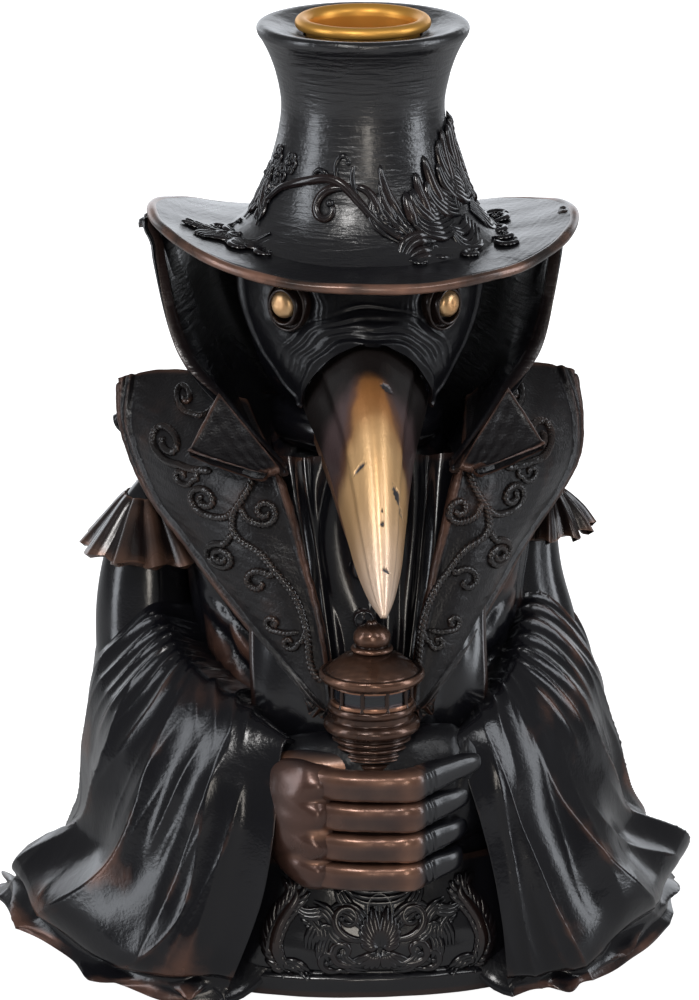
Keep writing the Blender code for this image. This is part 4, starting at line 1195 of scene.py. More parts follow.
# %% Mask
EYES = {RIGHT: np.array([-16.6, -26.0, 147.4]), LEFT: np.array([16.4, -26.0, 147.0])}
MASK_NET = [
    [(0, -28.5, 156.5), (10, -27.5, 156.5), (19, -21, 156), (26, -9, 155.5)],
    [(0, -31, 149), (10, -30.2, 148), (18.2, -24.8, 146.5), (26, -11.5, 146)],
    [(0, -34.2, 144.3), (8.8, -33, 141.6), (17, -26.8, 136.6), (22, -16.2, 135.8)],
    [(0, -37.0, 141.2), (7.6, -35.8, 138.4), (12.6, -32.2, 131.8), (13.4, -27.5, 125.4)],
]


def valleys(distance, marks, width, depth):
    """Minus depth in a narrow bell at each marked distance, with a rounded swelling between marks."""
    total = np.zeros_like(distance)
    for number, mark in enumerate(marks):
        total -= depth * hump(distance, mark, width) * (1 - 0.12 * number)
        total += 0.5 * depth * hump(distance, mark + 1.7 * width, 1.3 * width) * (1 - 0.12 * number)
    return total


def mask_shell():
    grid, t, w = sheet(both_halves(MASK_NET), 185, 230, -1)
    out = grid_normals(grid)
    facing = turned_forwards(out)
    x, z = grid[..., 0], grid[..., 2]
    sway = 0.45 * wobble(x / 5, z / 4, 1.0)
    # Arches: t runs from the brim down to the beak, and the creases crowd near the beak.
    root = (np.abs(x / 13.6) ** 2.6 + np.abs((z - 125.4) / 15.6) ** 2.6) ** (1 / 2.6) * 14.2 - 14.2
    arch = root + sway
    strength = (0.7 + 0.3 * wobble(3 * w, 6 * t, 2.0)) * ease(-np.abs(w), -0.95, -0.55)
    broken = ease(wobble(x / 3.4, z / 2.6, 4.0), -0.7, 0.3)
    move = valleys(arch, (1.1, 2.5, 4.0, 5.8), 0.32, 0.42) * strength * (0.4 + 0.6 * broken)
    move += 0.8 * hump(arch, 0.1, 0.7) + 0.4 * hump(arch, 3.4, 2.0)
    for side, (ex, _, ez) in EYES.items():
        # Oval rings, wider below the eye, broken on the outer side.
        away = np.hypot((x - ex) * 1.05, (z - ez) * 0.92) + 0.3 * wobble(x / 2.3, z / 2.3, 3.0 + side)
        below = ease(ez - z, -3.0, 3.0) * 0.7 + 0.3
        inner = ease(-(x - ex) * side, -5.0, 3.0)
        # Fine creases nest round the eye's inner side and run on down into the arches.
        clear = ease(arch, 4.5, 8.0)
        creases = valleys(away, (6.9, 8.0, 9.3, 10.8), 0.26, 0.26)
        move += creases * below * inner * (0.4 + 0.6 * broken) * clear
        move -= 1.2 * hump(away, 4.2, 1.5)
    # Brow swell over the nose, cheek hollow and the raised edge of the shield.
    move += 0.7 * hump(x, 0, 6.5) * hump(z, 150, 5.0)
    rim = (1 - np.abs(w)) * 24
    move += 0.30 * hump(rim, 0.2, 0.5) - 0.15 * hump(rim, 1.2, 0.5)
    move += 0.06 * wobble(x / 3.1, z / 2.7, 5.0)
    return walled(grid + out * facing * move[..., None], 1.1, facing)


piece("leather_mask", [mask_shell()], mask_black, instead_of=["mask"], reach=1.5)


# %% Eyes
def facing_eye(points, side):
    """A lathe's points laid with its axis along -Y, turned 40 degrees outwards, and moved to the eye."""
    turn = math.radians(40) * side
    x, y, z = points[:, 0], -points[:, 2], points[:, 1]
    turned_x = x * math.cos(turn) - y * math.sin(turn)
    turned_y = x * math.sin(turn) + y * math.cos(turn)
    return np.stack([turned_x, turned_y, z], axis=1) + EYES[side]


RING = [
    (2.95, -1.5), (2.95, 0.6), (3.0, 1.9), (3.2, 2.25), (3.5, 2.2), (3.7, 1.8), (3.8, 0.9), (4.05, 0.1),
    (4.25, 0.2), (4.4, 0.7), (4.65, 0.9), (4.9, 0.7), (5.1, 0.0), (5.15, -1.2), (4.9, -2.6),
    (4.4, -3.0),
]
DOME = [
    (0.01, -2.2), (2.3, -2.2), (2.85, -1.4), (2.85, 1.5), (2.7, 2.15), (2.3, 2.65), (1.7, 2.98),
    (1.1, 3.14), (0.5, 3.2), (0.01, 3.22),
]
for side, name in ((RIGHT, "right"), (LEFT, "left")):
    points, faces = turned(through(RING, 90), sides=96)
    ring = (facing_eye(points * [1.0, 1.12, 1.0], side), faces)
    piece(
        "eye_ring_" + name, [ring], ring_bronze, instead_of=["eye_bezel_" + name],
        reach=0.7
    )
    points, faces = turned(through(DOME, 60), sides=72)
    # A thumb's dent: the dome sinks by up to 0.1 mm on one side of its middle.
    dent = 0.12 * np.exp(-(((points[:, 0] - 0.4 * side) / 1.2) ** 2 + ((points[:, 1] - 0.4) / 1.1) ** 2))
    points[:, 2] -= dent * (points[:, 2] > 1)
    piece(
        "eye_dome_" + name, [(facing_eye(points, side) + [0, 0, 0.5], faces)], eye_gold,
        instead_of=["eye_lens_" + name], reach=0.8
    )

# %% [markdown]
# ## Beak
#
# The beak is a horn: an arched section that shrinks along a curve down over the chest. Its ridge is
# rounded and its sides fall away steeply beyond a crease, so the section is an arch with a corner
# on each side. The paint needs to know where a point lies, so three numbers are stored with it:
# along from 0 at the root to 1 at the tip, across from 0 on the ridge to 1 at the lower edge, and
# chip, which is 1 inside the few flaked spots.


# %% Beak
UPPER = [  # y and z of the ridge, y and z of the lower edge, half width
    (-33, 141.5, -25, 125, 13.5), (-47, 133.5, -39, 115.5, 9.3), (-58, 123, -51.5, 106, 6.7),
    (-67, 110.5, -61.5, 99, 4.8), (-73, 99.5, -69, 94.5, 2.7), (-75.6, 93.2, -74.6, 92.2, 0.6),
]
LOWER = [
    (-27, 124, -20, 118, 11.4), (-39, 115.5, -35, 109.5, 8.3), (-51.5, 106, -48, 101.5, 5.6),
    (-60, 99.5, -58, 97, 2.9)
]
# Flakes: along, sideways as a share of the half width, length along, width across, tilt.
CHIPS = [
    (0.17, 0.36, 0.012, 0.30, 0.25), (0.40, -0.62, 0.007, 0.30, 0.7), (0.47, 0.78, 0.018, 0.34, 0.2),
    (0.56, 0.10, 0.006, 0.10, 0.0), (0.60, 0.08, 0.007, 0.22, -0.3), (0.75, 0.28, 0.007, 0.55, 0.1),
]
FLOOR_COLUMNS = 12  # lines across the underside of each half of the beak


def horn(stations, rows, columns, crease):
    """Sections: across = cos a (1 - 0.18 sin a), up = |sin a|^0.8, between a lower edge and a ridge."""
    fine = through(stations, rows)
    y_top, z_top, y_low, z_low, half = (fine[:, k][:, None] for k in range(5))
    angle = np.linspace(0, math.pi, columns)[None, :]
    up = np.sin(angle) ** 0.8
    across = np.cos(angle) * (1 - 0.18 * np.sin(angle))
    sideways = np.abs(np.cos(angle))
    ridge = crease * (hump(sideways, 0.80, 0.07) - 1.3 * hump(sideways, 0.90, 0.06))
    x = half * (across * (1 + 0.05 * ridge))
    y = y_low + (y_top - y_low) * up
    z = z_low + (z_top - z_low) * up
    rings = np.stack([x, y, z], axis=-1)
    share = np.linspace(0.08, 0.92, FLOOR_COLUMNS)[None, :, None]
    under = rings[:, -1:] + (rings[:, :1] - rings[:, -1:]) * share
    return np.concatenate([rings, under], axis=1), angle[0]


def beak_upper():
    rows, columns = 250, 116
    rings, angle = horn(UPPER, rows, columns, 1.0)
    scratch = 0.012 * wobble(rings[..., 0] * 3.1, rings[..., 2] / 6, 1.0)
    scratch = scratch + 0.04 * wobble(rings[..., 0] / 3, rings[..., 2] / 5, 2)
    middle = rings.mean(axis=1, keepdims=True)
    out = unit(rings - middle)
    along = np.linspace(0, 1, rows)[:, None] + np.zeros(rings.shape[1])
    share = np.concatenate([np.cos(angle), np.ones(FLOOR_COLUMNS)])[None, :] + 0 * along
    across = np.concatenate([np.abs(np.cos(angle)), np.ones(FLOOR_COLUMNS)])[None, :] + 0 * along
    chip = np.zeros_like(along)
    for at, sideways, tall, wide, tilt in CHIPS:
        dx, dy = (share - sideways), (along - at) - tilt * 0.05 * (share - sideways)
        ragged = 1 + 0.30 * wobble(share * 40, along * 160, 10 * at)
        chip = np.maximum(chip, ease(-np.hypot(dx / (wide / 2), dy / tall) * ragged, -1.15, -0.85))
    upper_side = np.concatenate([np.ones(columns), np.zeros(FLOOR_COLUMNS)])[None, :]
    rings = rings + out * ((scratch - 0.28 * chip) * upper_side * ease(1 - along, 0, 0.05))[..., None]
    marks = {}
    for label, values in (("along", along), ("across", across), ("chip", chip * upper_side)):
        marks[label] = np.concatenate([values.ravel(), [values[0, 0], values[-1, 0]]])
    return closed_tube(rings, push=(0, 2)), marks


shape, marks = beak_upper()
piece("beak_horn", [shape], beak_gold, instead_of=["beak_upper"], marks=marks, reach=1.5)
rings, _ = horn(LOWER, 120, 90, 0.0)
piece(
    "beak_jaw", [closed_tube(rings, push=(0, 1))], bronze, instead_of=["beak_lower"],
    reach=1.5
)

# %% [markdown]
# ## Hat
#
# The crown is a lathe shape: narrow in the waist, flared to a thick rolled lip, with a dished top
# round the candle cup. Fine level brush marks cover it. The brim is a saddle over a disc,
# z = lift u^4 - dip v^4 - tilt u |u|, so it rises at the sides, dips behind and a little in front, and
# leans. Its edge is a rounded welt, and there copper paste is rubbed over the black.


# %% Crown and brim
BRIM_HALF = (45.5, 43.0)
BRIM_MIDDLE, BRIM_LIFT, BRIM_WALL = 156.0, 5.4, 2.1
FRONT_DIP, BACK_DIP, BRIM_TILT = 1.3, 4.6, 0.95
CROWN_RINGS, BRIM_RINGS = 280, 70
CROWN_SHAPE = [
    (34.5, 154.4), (30.6, 157.0), (26.8, 160), (23.6, 164), (20.9, 170), (18.8, 177), (17.6, 185),
    (18.4, 191), (20.0, 196), (21.6, 199.4), (22.5, 200.8), (22.85, 201.8), (22.7, 202.6),
    (21.9, 203.1), (20.4, 203.0), (17.5, 202.2), (15.4, 201.5), (14.0, 201.3), (13.2, 201.0),
    (12.6, 200.0), (12.55, 196.0), (12.55, 188.0), (12.55, 180.2), (0.01, 180.2),
]


def brim_height(x, y):
    u, v = x / BRIM_HALF[0], y / BRIM_HALF[1]
    dip = np.where(v < 0, FRONT_DIP, BACK_DIP)
    return BRIM_MIDDLE + BRIM_LIFT * u**4 - dip * v**4 - BRIM_TILT * u * np.abs(u)


def crown():
    """The lathe shape, its wall moved by up to 0.05 mm in level, broken brush marks."""
    fine = through(CROWN_SHAPE, CROWN_RINGS)
    fine[:, 0] = np.maximum(fine[:, 0], 0.01)
    angle = full_turn(240)[None, :]
    r, z = fine[:, :1], fine[:, 1:]
    outer = (np.arange(CROWN_RINGS) < CROWN_RINGS * 10.5 / 23)[:, None]
    marks = 0.055 * wobble(2.2 * np.sin(3 * angle) + 4 * angle, z * 7.0, 1.0)
    marks = marks * np.abs(wobble(5 * angle, z / 3, 2.0))
    out_of_round = 0.10 * wobble(2 * np.sin(angle), z / 9, 3.0)
    r = r + (marks + out_of_round) * outer
    rings = np.stack([CROWN_X + r * np.cos(angle), r * np.sin(angle), z + 0 * angle], axis=-1)
    return closed_tube(rings)


def brim():
    """A disc from under the crown outwards: over the top, round the edge, back along the underside."""
    angle = full_turn(320)[None, :]
    share = np.linspace(0.40, 0.985, BRIM_RINGS)
    turn = np.linspace(math.pi / 2, -math.pi / 2, 9)[1:-1]
    shares = np.concatenate([share, 0.985 + 0.015 * np.cos(turn), share[::-1]])
    height = np.concatenate([np.ones(BRIM_RINGS), np.sin(turn), -np.ones(BRIM_RINGS)]) * BRIM_WALL / 2
    x = shares[:, None] * BRIM_HALF[0] * np.cos(angle)
    y = shares[:, None] * BRIM_HALF[1] * np.sin(angle)
    z = brim_height(x, y) + height[:, None]
    top = (np.arange(len(shares)) < BRIM_RINGS)[:, None]
    z = z + 0.22 * wobble(x / 11, y / 9, 1.0) * ease(shares, 0.5, 0.8)[:, None]
    z = z + 0.04 * wobble(x, y * 1.3, 2.0) * top
    return ring_shell(np.stack([x + CROWN_X, y, z], axis=-1))


def ring_shell(rings):
    """Points and faces of a stack of rings whose last one is joined to its first."""
    rows, columns = rings.shape[:2]
    first = np.arange(columns)
    after = np.roll(first, -1)
    last = (rows - 1) * columns
    joint = np.stack([first + last, after + last, after, first], axis=-1)
    return rings.reshape(-1, 3), np.concatenate([loop_faces(rows, columns), joint])


def brim_welt():
    """The rounded welt: a tube of radius 1.12 along the brim's edge, uneven by a few hundredths."""
    angle = full_turn(420)
    x, y = BRIM_HALF[0] * np.cos(angle), BRIM_HALF[1] * np.sin(angle)
    path = np.stack([x + CROWN_X, y, brim_height(x, y)], axis=-1)
    out = unit(np.stack([np.cos(angle), np.sin(angle), 0 * angle], axis=-1))
    a = full_turn(20)[None, :, None]
    radius = (1.12 + 0.07 * wobble(7 * np.sin(angle), 5 * np.cos(angle), 1.0))[:, None, None]
    rings = path[:, None] + radius * (np.cos(a) * out[:, None] + np.sin(a) * np.array([0, 0, 1.0]))
    rings[:, :, 2] += 0.22 * wobble(x / 11, y / 9, 1.0)[:, None]
    return ring_shell(rings)


piece("crown", [crown()], hat_black, instead_of=["hat_crown"], reach=1.2, sharp=80)
piece("brim", [brim()], hat_black, instead_of=["hat_brim"], reach=2.0, sharp=80)
piece(
    "brim_welt", [brim_welt()], welt_bronze, instead_of=["brim_binding"], reach=1.0,
    sharp=80
)

# %% [markdown]
# ## The leaf garland round the hat
#
# The garland is cast in wax strokes: thin curved blades, each a tapered tube pressed flat onto the
# hat. They are drawn on the unrolled hat, where s runs round it in millimetres and m runs up the
# crown or, below zero, out over the brim. One function lays such a drawing on the real surface. A
# leaf is a midrib with blades leaving it on both sides, and a volute is a blade whose curl grows.


# %% Drawing on the hat
MERIDIAN = np.array(CROWN_SHAPE[:10], float)
HAT_REACH = 26.0  # a millimetre of s is 1 / 26 of a radian round the hat


def on_hat(flat):
    """(s, m) to points and normals: the crown's own profile above m = 0, the brim's surface below."""
    flat = np.asarray(flat, float)
    bearing, m = flat[:, 0] / HAT_REACH, flat[:, 1]
    z_up = 159.4 + np.maximum(m, 0) * 0.93
    r_up = np.interp(z_up, MERIDIAN[:, 1], MERIDIAN[:, 0])
    above, below = (np.interp(z_up + step, MERIDIAN[:, 1], MERIDIAN[:, 0]) for step in (0.5, -0.5))
    r = r_up + np.maximum(-m, 0)
    x, y = r * np.sin(bearing), -r * np.cos(bearing)
    brim_z = brim_height(x, y) + BRIM_WALL / 2
    down = ease(-m, -1.5, 1.5)
    z = z_up * (1 - down) + (brim_z + 0.2) * down
    up = down + (1 - down) * np.clip(below - above, -0.4, 0.9)
    level = 1 - 0.9 * down
    normal = unit(np.stack([np.sin(bearing) * level, -np.cos(bearing) * level, up], axis=1))
    return np.stack([x + CROWN_X, y, z], axis=1), normal


def blade(flat, belly, tip=0.12, root=0.35, flat_by=0.75, lift=0.35, at=0.4, place=on_hat, sides=8):
    """One stroke: a tapered tube over a drawn line, pressed to flat_by of its height."""
    path, normal = place(flat)
    radius = taper(len(path), root * belly, belly, tip, at)
    path = relaxed(path, 2) + normal * (radius * lift + 0.1)[:, None]
    return carried(path, radius, up=normal, flat=flat_by, sides=sides)


def swept(root, length, heading, curl, more=0.0, count=22):
    """A stroke() that starts at a point of the drawing. The heading is in degrees, 90 is up."""
    return np.asarray(root, float) + stroke(length, math.radians(heading), curl, more, count)


def volute(root, length, heading, turns, belly, place=on_hat, ball=1.0):
    """A blade that rolls up: after so many whole turns, counted left, it ends in a small ball."""
    line = swept(root, length, heading, 0.0, 4 * math.pi * turns / length**2, 44)
    end, normal = place(line[-2:])
    bead = end[-1] + normal[-1] * 0.5 * belly
    return [
        blade(line, belly, tip=0.42 * belly, root=0.5, at=0.3, place=place),
        small_ball(bead, 0.75 * belly * ball)
    ]


def small_ball(centre, radius):
    bow = np.linspace(0.05, math.pi - 0.05, 8)
    return turned([(radius * math.sin(a), -radius * math.cos(a)) for a in bow], centre, 12)


def leaf(root, length, heading, bend, width, count=6, lean=42, belly=0.8, place=on_hat):
    """A midrib with count blades on each side: they lean away from it by lean degrees and curl forward,
    and their length follows sin, so the leaf is widest in its middle."""
    rib = swept(root, length, heading, bend, 0.0, 26)
    parts = [blade(rib, belly, place=place)]
    for number in range(count):
        share = (number + 0.6) / (count + 0.5)
        at = rib[int(share * 24)]
        direction = heading + math.degrees(bend * length * share)
        reach = width * math.sin(math.pi * (0.18 + 0.74 * share)) + 0.8
        for hand in (-1, 1):
            curl = -hand * 0.55 * math.radians(lean) * 1.6 / reach
            line = swept(at, reach, direction + hand * lean, curl, 0.0, 14)
            parts.append(blade(line, belly * 0.85, place=place))
    return parts


print("one blade:", blade(swept((0, 3), 8, 90, 0.1), 0.9)[0].shape)


# %% The garland
def comma(root, length, heading, turn, strands, gap=0.95, belly=0.75, place=on_hat):
    """A striated leaf: blades side by side that share one growing curl, the inner ones shorter."""
    across = math.radians(heading + (90 if turn > 0 else -90))
    step = np.array([math.cos(across), math.sin(across)]) * gap
    parts = []
    for number in range(strands):
        line = swept(
            np.asarray(root) + step * number, length * (1 - 0.085 * number), heading, 0.0,
            turn * (1 + 0.12 * number), 34
        )
        parts.append(blade(line, belly, tip=0.25, root=0.4, place=place))
    return parts


def rosette(centre, radius, petals, place=on_hat):
    """A small flower: a ring of looped petals round a ball."""
    parts = []
    for number in range(petals):
        angle = 2 * math.pi * number / petals
        middle = np.asarray(centre) + radius * 0.62 * np.array([math.cos(angle), math.sin(angle)])
        loop = spiral(middle, radius * 0.40, math.degrees(angle), 1.02, 1, inner=0.98, count=18)
        parts.append(blade(loop, 0.42, tip=0.4, root=0.95, at=0.5, place=place, sides=7))
    end, normal = place(np.array([centre, centre]))
    return parts + [small_ball(end[0] + normal[0] * 0.5, 0.75)]


def garland_right():
    """The great spray at the figure's left: long blades swept back over the crown, from a root low down."""
    parts = []
    for root, length, heading, turn, strands in (
        ((33, 6.0), 17, 168, -0.012, 5), ((30, 9.5), 15, 146, -0.016, 5), ((34, 12), 13, 122, -0.018, 4),
        ((25, 4.5), 15, 172, -0.020, 5), ((18, 3.5), 12, 158, -0.022, 4), ((36, 7.0), 12, 96, 0.020, 4),
        ((27, 6.0), 10, 84, 0.030, 3), ((14, 2.0), 10, 172, 0.026, 4),
    ):
        parts += comma(root, length, heading, turn, strands, gap=1.05, belly=1.1)
    for root, length, heading in (
        ((22, 5), 15, 128), ((28, 8), 16, 112), ((16, 4), 12, 118), ((33, 10), 15, 98), ((11, 3), 9, 112)
    ):
        parts.append(blade(swept(root, length, heading, -0.045, 0.0, 24), 1.35, tip=0.1))
    parts += comma((22, 2.2), 17, 196, -0.0175, 7, belly=0.85)
    parts += comma((29, 1.0), 13, 214, -0.028, 5, belly=0.8)
    parts += comma((31, 4.5), 12, -60, 0.030, 5, belly=0.75)
    parts += leaf((10, 1.5), 12.0, 150, -0.05, 5.0, 5, belly=0.9)
    # Spilling onto the brim.
    for root, length, heading, turns in (
        ((26, -1.5), 10, 200, -0.7), ((22, -2.0), 9, 175, 0.8), ((16, -2.2), 8, 190, -0.8),
        ((31, -1.0), 8, 250, 0.7),
        ((35, 0.0), 8, 290, 0.6), ((29, -2.8), 9, 215, 0.6), ((12, -1.2), 8, 168, 0.6),
        ((38, 1.0), 7, 310, -0.7),
    ):
        parts += volute(root, length, heading, turns, 0.75)
    return parts


def garland_climbing():
    """The part that climbs the crown beyond the spray, standing off its outline."""
    parts = leaf((42, 3), 23, 90, 0.006, 4.4, 10, belly=1.35)
    parts += leaf((47, 2), 17, 84, -0.01, 4.6, 8, belly=1.2)
    parts += leaf((37, 5), 14, 98, 0.02, 3.6, 6, belly=1.05)
    parts += leaf((53, 2), 12, 75, -0.02, 4.4, 6, belly=1.0)
    parts += comma((56, 2.0), 11, 20, 0.03, 5)
    for root, length, heading, turns in (
        ((44, -1.0), 9, 275, 0.7), ((50, -1), 9, 300, -0.7), ((57, 0), 9, 320, 0.8)
    ):
        parts += volute(root, length, heading, turns, 0.8)
    return parts


def garland_left():
    """The vine across the front to the flower cluster, its volutes, and the tendrils on the brim."""
    vine = through(
        [
            (6, 2.2), (1.5, 5.5), (-3, 9.8), (-7.5, 13.5), (-12, 14.6), (-17, 13.8), (-22, 12.6),
            (-27, 10.8), (-31, 7.5),
        ],
        90
    )
    parts = [blade(vine, 1.0, tip=0.6, root=0.7)]
    parts += [blade(swept((2.0, 5.0), 11, 88, 0.06, 0.016, 24), 0.95, tip=0.45)]
    parts += [blade(swept((-2.5, 9.3), 9, 125, -0.02, -0.02, 20), 0.6, tip=0.3)]
    parts += volute((-6, 12.6), 19, 176, 0.92, 1.0, ball=1.3)
    parts += volute((-8.5, 13.8), 10, 122, -0.6, 0.6, ball=1.3)
    parts += volute((-11.5, 14.6), 7.5, 135, 0.55, 0.55, ball=1.0)
    parts += comma((5.5, 1.4), 15.5, 152, -0.026, 5, belly=0.7)
    parts += [blade(swept((7, 3.2), 12, 118, 0.03, -0.012, 24), 0.9)]
    parts += [blade(swept((9, 4.5), 15, 128, -0.012, -0.004, 24), 1.0, tip=0.1)]
    for centre, radius in (
        ((-29.5, 13.5), 2.7), ((-25.6, 16.6), 2.3), ((-33.5, 17.0), 2.6), ((-31.5, 9.0), 2.2),
        ((-37.5, 12.5), 2.6)
    ):
        parts += rosette(centre, radius, 6)
    parts += leaf((-30, 2.0), 13, 118, 0.02, 4.4, 5, belly=0.9)
    parts += leaf((-38, 2.0), 12, 80, 0.0, 5.0, 5, belly=0.9)
    for number in range(7):
        root = (-23 - 2.4 * number, -0.8)
        parts += volute(root, 8.5 + 1.2 * (number % 3), 262 - 9 * number, (-1) ** number * 0.7, 0.72)
    parts += comma((-24, 1.5), 11, 205, 0.03, 5, belly=0.75)
    parts += comma((-30, -1.0), 12, 228, 0.022, 4, belly=0.75)
    parts += leaf((-33, -3.0), 10, 225, 0.03, 3.6, 4, belly=0.7)
    return parts


for name, parts, node in (
    ("garland_right", garland_right(), "hat_leaf_front"),
    ("garland_climbing", garland_climbing(), "hat_leaf_left"),
    ("garland_left", garland_left(), "hat_leaf_right"),
):
    piece(name, parts, relief_black, instead_of=[node], reach=0.8)

# %% [markdown]
# ## Candle cup
#
# The cup is spun brass with an orange gold finish: a plain tube with a rolled flange, dropped into
# the crown. It is the one part that lifts out, so it rides on its own body. Its profile goes down
# inside, across the floor and back up outside.


# %% Candle cup
CUP = [
    (0.01, 181.6), (9.8, 181.6), (10.9, 181.9), (11.2, 182.8), (11.2, 190), (11.2, 200.5),
    (11.3, 202.6), (11.7, 203.6), (12.4, 204.25), (13.1, 204.5), (13.9, 204.3), (14.45, 203.7),
    (14.6, 203.0), (14.4, 202.3), (13.8, 201.95), (12.9, 201.9), (12.3, 201.6), (12.2, 200.6),
    (12.2, 190), (12.2, 181.4), (11.9, 180.6), (11.2, 180.4), (0.01, 180.4),
]
cup_points, cup_faces = turned(through(CUP, 150), (CROWN_X, 0, 0), 140)
piece(
    "brass_cup", [(cup_points, cup_faces)], brass, body="cup", instead_of=["candle_cup"],
    sharp=70
)

# %% [markdown]
# ## Lantern
#
# The lantern is turned on one axis: a ball finial, a low domed roof with a rolled rim, a ring of
# panes between posts, and a base of stacked mouldings on a ribbed neck that sinks into the hands.
# Only the panes and posts break the turning. Ten flat panes make it a ten-sided drum.


# %% Lantern
ROOF = [
    (0.01, 78.9), (2.4, 78.7), (2.9, 78.1), (4.0, 77.6), (6.2, 76.6), (8.3, 75.1), (9.4, 74.0),
    (9.9, 73.5), (10.7, 73.75), (11.1, 73.3), (11.2, 72.6), (10.9, 71.9), (10.2, 71.5), (9.6, 71.1),
    (8.6, 70.9), (0.01, 70.9),
]
FINIAL = [
    (0.01, 84.5), (0.9, 84.4), (1.3, 83.9), (1.7, 83.6), (2.9, 82.9), (3.7, 81.9), (3.95, 80.8),
    (3.7, 79.7), (3.3, 79.1), (4.1, 78.9), (4.5, 78.4), (4.2, 77.9), (3.0, 77.7), (0.01, 77.6),
]
BASE = [
    (0.01, 66.6), (8.2, 66.6), (9.0, 66.5), (9.35, 66.1), (9.4, 65.4), (9.1, 64.9), (8.8, 64.6),
    (8.75, 63.6), (9.0, 63.2), (9.7, 62.9), (10.2, 62.2), (10.25, 61.5), (9.9, 60.8), (9.0, 60.4),
    (8.5, 60.1), (8.1, 59.6), (8.5, 59.2), (8.55, 58.8), (8.0, 58.4), (7.6, 58.1), (8.1, 57.7),
    (8.15, 57.3), (7.6, 56.9), (7.2, 56.5), (7.6, 56.0), (7.5, 55.5), (7.0, 55.1), (0.01, 55.0),
]
STEM_ROD = [
    (0.01, 54.7), (6.6, 54.6), (7.1, 54.2), (7.2, 52), (7.2, 44), (7.1, 34.2), (6.6, 33.4), (0.01, 33.2)
]
PANES = 10


def lathe(profile, fine=7, sides=120):
    points, faces = turned(through(profile[::-1], len(profile) * fine), LANTERN, sides)
    points[:, :2] += 0.03 * wobble(points[:, 0:1] * 1.1, points[:, 1:2] + points[:, 2:3] * 0.9, 1.0)
    return points, faces


def panes():
    """A drum whose radius is apothem / cos(angle from the middle of its pane)."""
    angle = full_turn(240)[None, :]
    off = (angle * PANES / (2 * math.pi)) % 1 - 0.5
    radius = 7.75 / np.cos(off * 2 * math.pi / PANES)
    z = np.linspace(66.3, 71.2, 14)[:, None]
    x, y = radius * np.cos(angle) + 0 * z, radius * np.sin(angle) + 0 * z
    return closed_tube(np.stack([x, y, z + 0 * angle], axis=-1) + LANTERN)


def cage():
    """A post at each corner of the drum, thicker at both ends, and a sill above and below the panes."""
    parts = []
    for number in range(PANES):
        angle = 2 * math.pi * number / PANES
        foot = LANTERN + [8.35 * math.cos(angle), 8.35 * math.sin(angle), 0]
        z = np.linspace(66.2, 71.3, 24)
        path = foot + np.stack([0 * z, 0 * z, z], axis=1)
        radius = 0.50 + 0.28 * hump(z, 66.5, 0.5) + 0.28 * hump(z, 71.0, 0.5)
        parts.append(carried(path, radius, up=(math.cos(angle), math.sin(angle), 0), sides=10))
    for low, high in ((66.3, 67.3), (70.4, 71.3)):
        profile = [(7.9, low), (8.75, low), (8.9, (low + high) / 2), (8.75, high), (7.9, high)]
        parts.append(turned_ring(profile, LANTERN, 120))
    return parts


def turned_ring(profile, centre, sides):
    """A closed section carried round the axis."""
    angle = full_turn(sides)
    profile = np.asarray(profile, float)
    r, z = profile[:, 0][:, None], profile[:, 1][:, None]
    rings = np.stack([r * np.cos(angle), r * np.sin(angle), z + 0 * angle], axis=-1)
    return ring_shell(rings + np.asarray(centre, float))


for name, profile, node in (
    ("lantern_roof_disc", ROOF, "lantern_roof"),
    ("lantern_ball", FINIAL, "lantern_finial"),
    ("lantern_mouldings", BASE, "lantern_base"),
    ("lantern_rod", STEM_ROD, "lantern_stem"),
):
    piece(name, [lathe(profile)], lantern_bronze, instead_of=[node], reach=1.0)
piece("lantern_posts", cage(), lantern_bronze, instead_of=["lantern_cage"], reach=0.6)
piece("lantern_panes", [panes()], pane, instead_of=["lantern_glass"], sharp=20)

# %% [markdown]
# ## Hands
#
# The right hand wraps the lantern's neck with four boxy, gloved fingers. A finger is a section
# carried along its bones: a rounded rectangle, superellipse power 2.9, a little thicker at each
# knuckle, with a tight bend in the path at the joint. The back of the hand is one stack of ovals
# that flows into them. The left hand lies behind, and stays black.


# %% Right hand
FINGER_HEIGHTS = (51.0, 44.2, 37.4, 30.9)


def boxy(path, half_high, half_deep, up, power=3.2, sides=48):
    """Rounded-rectangle sections, half_high along up and half_deep square to it and to the path."""
    side, over = frame_along(path, up)
    angle = full_turn(sides)
    a, b = squared_off(np.cos(angle), power), squared_off(np.sin(angle), power)
    deep, high = (np.broadcast_to(h, len(path))[:, None] for h in (half_deep, half_high))
    return path[:, None] + (deep * a)[..., None] * side[:, None] + (high * b)[..., None] * over[:, None]


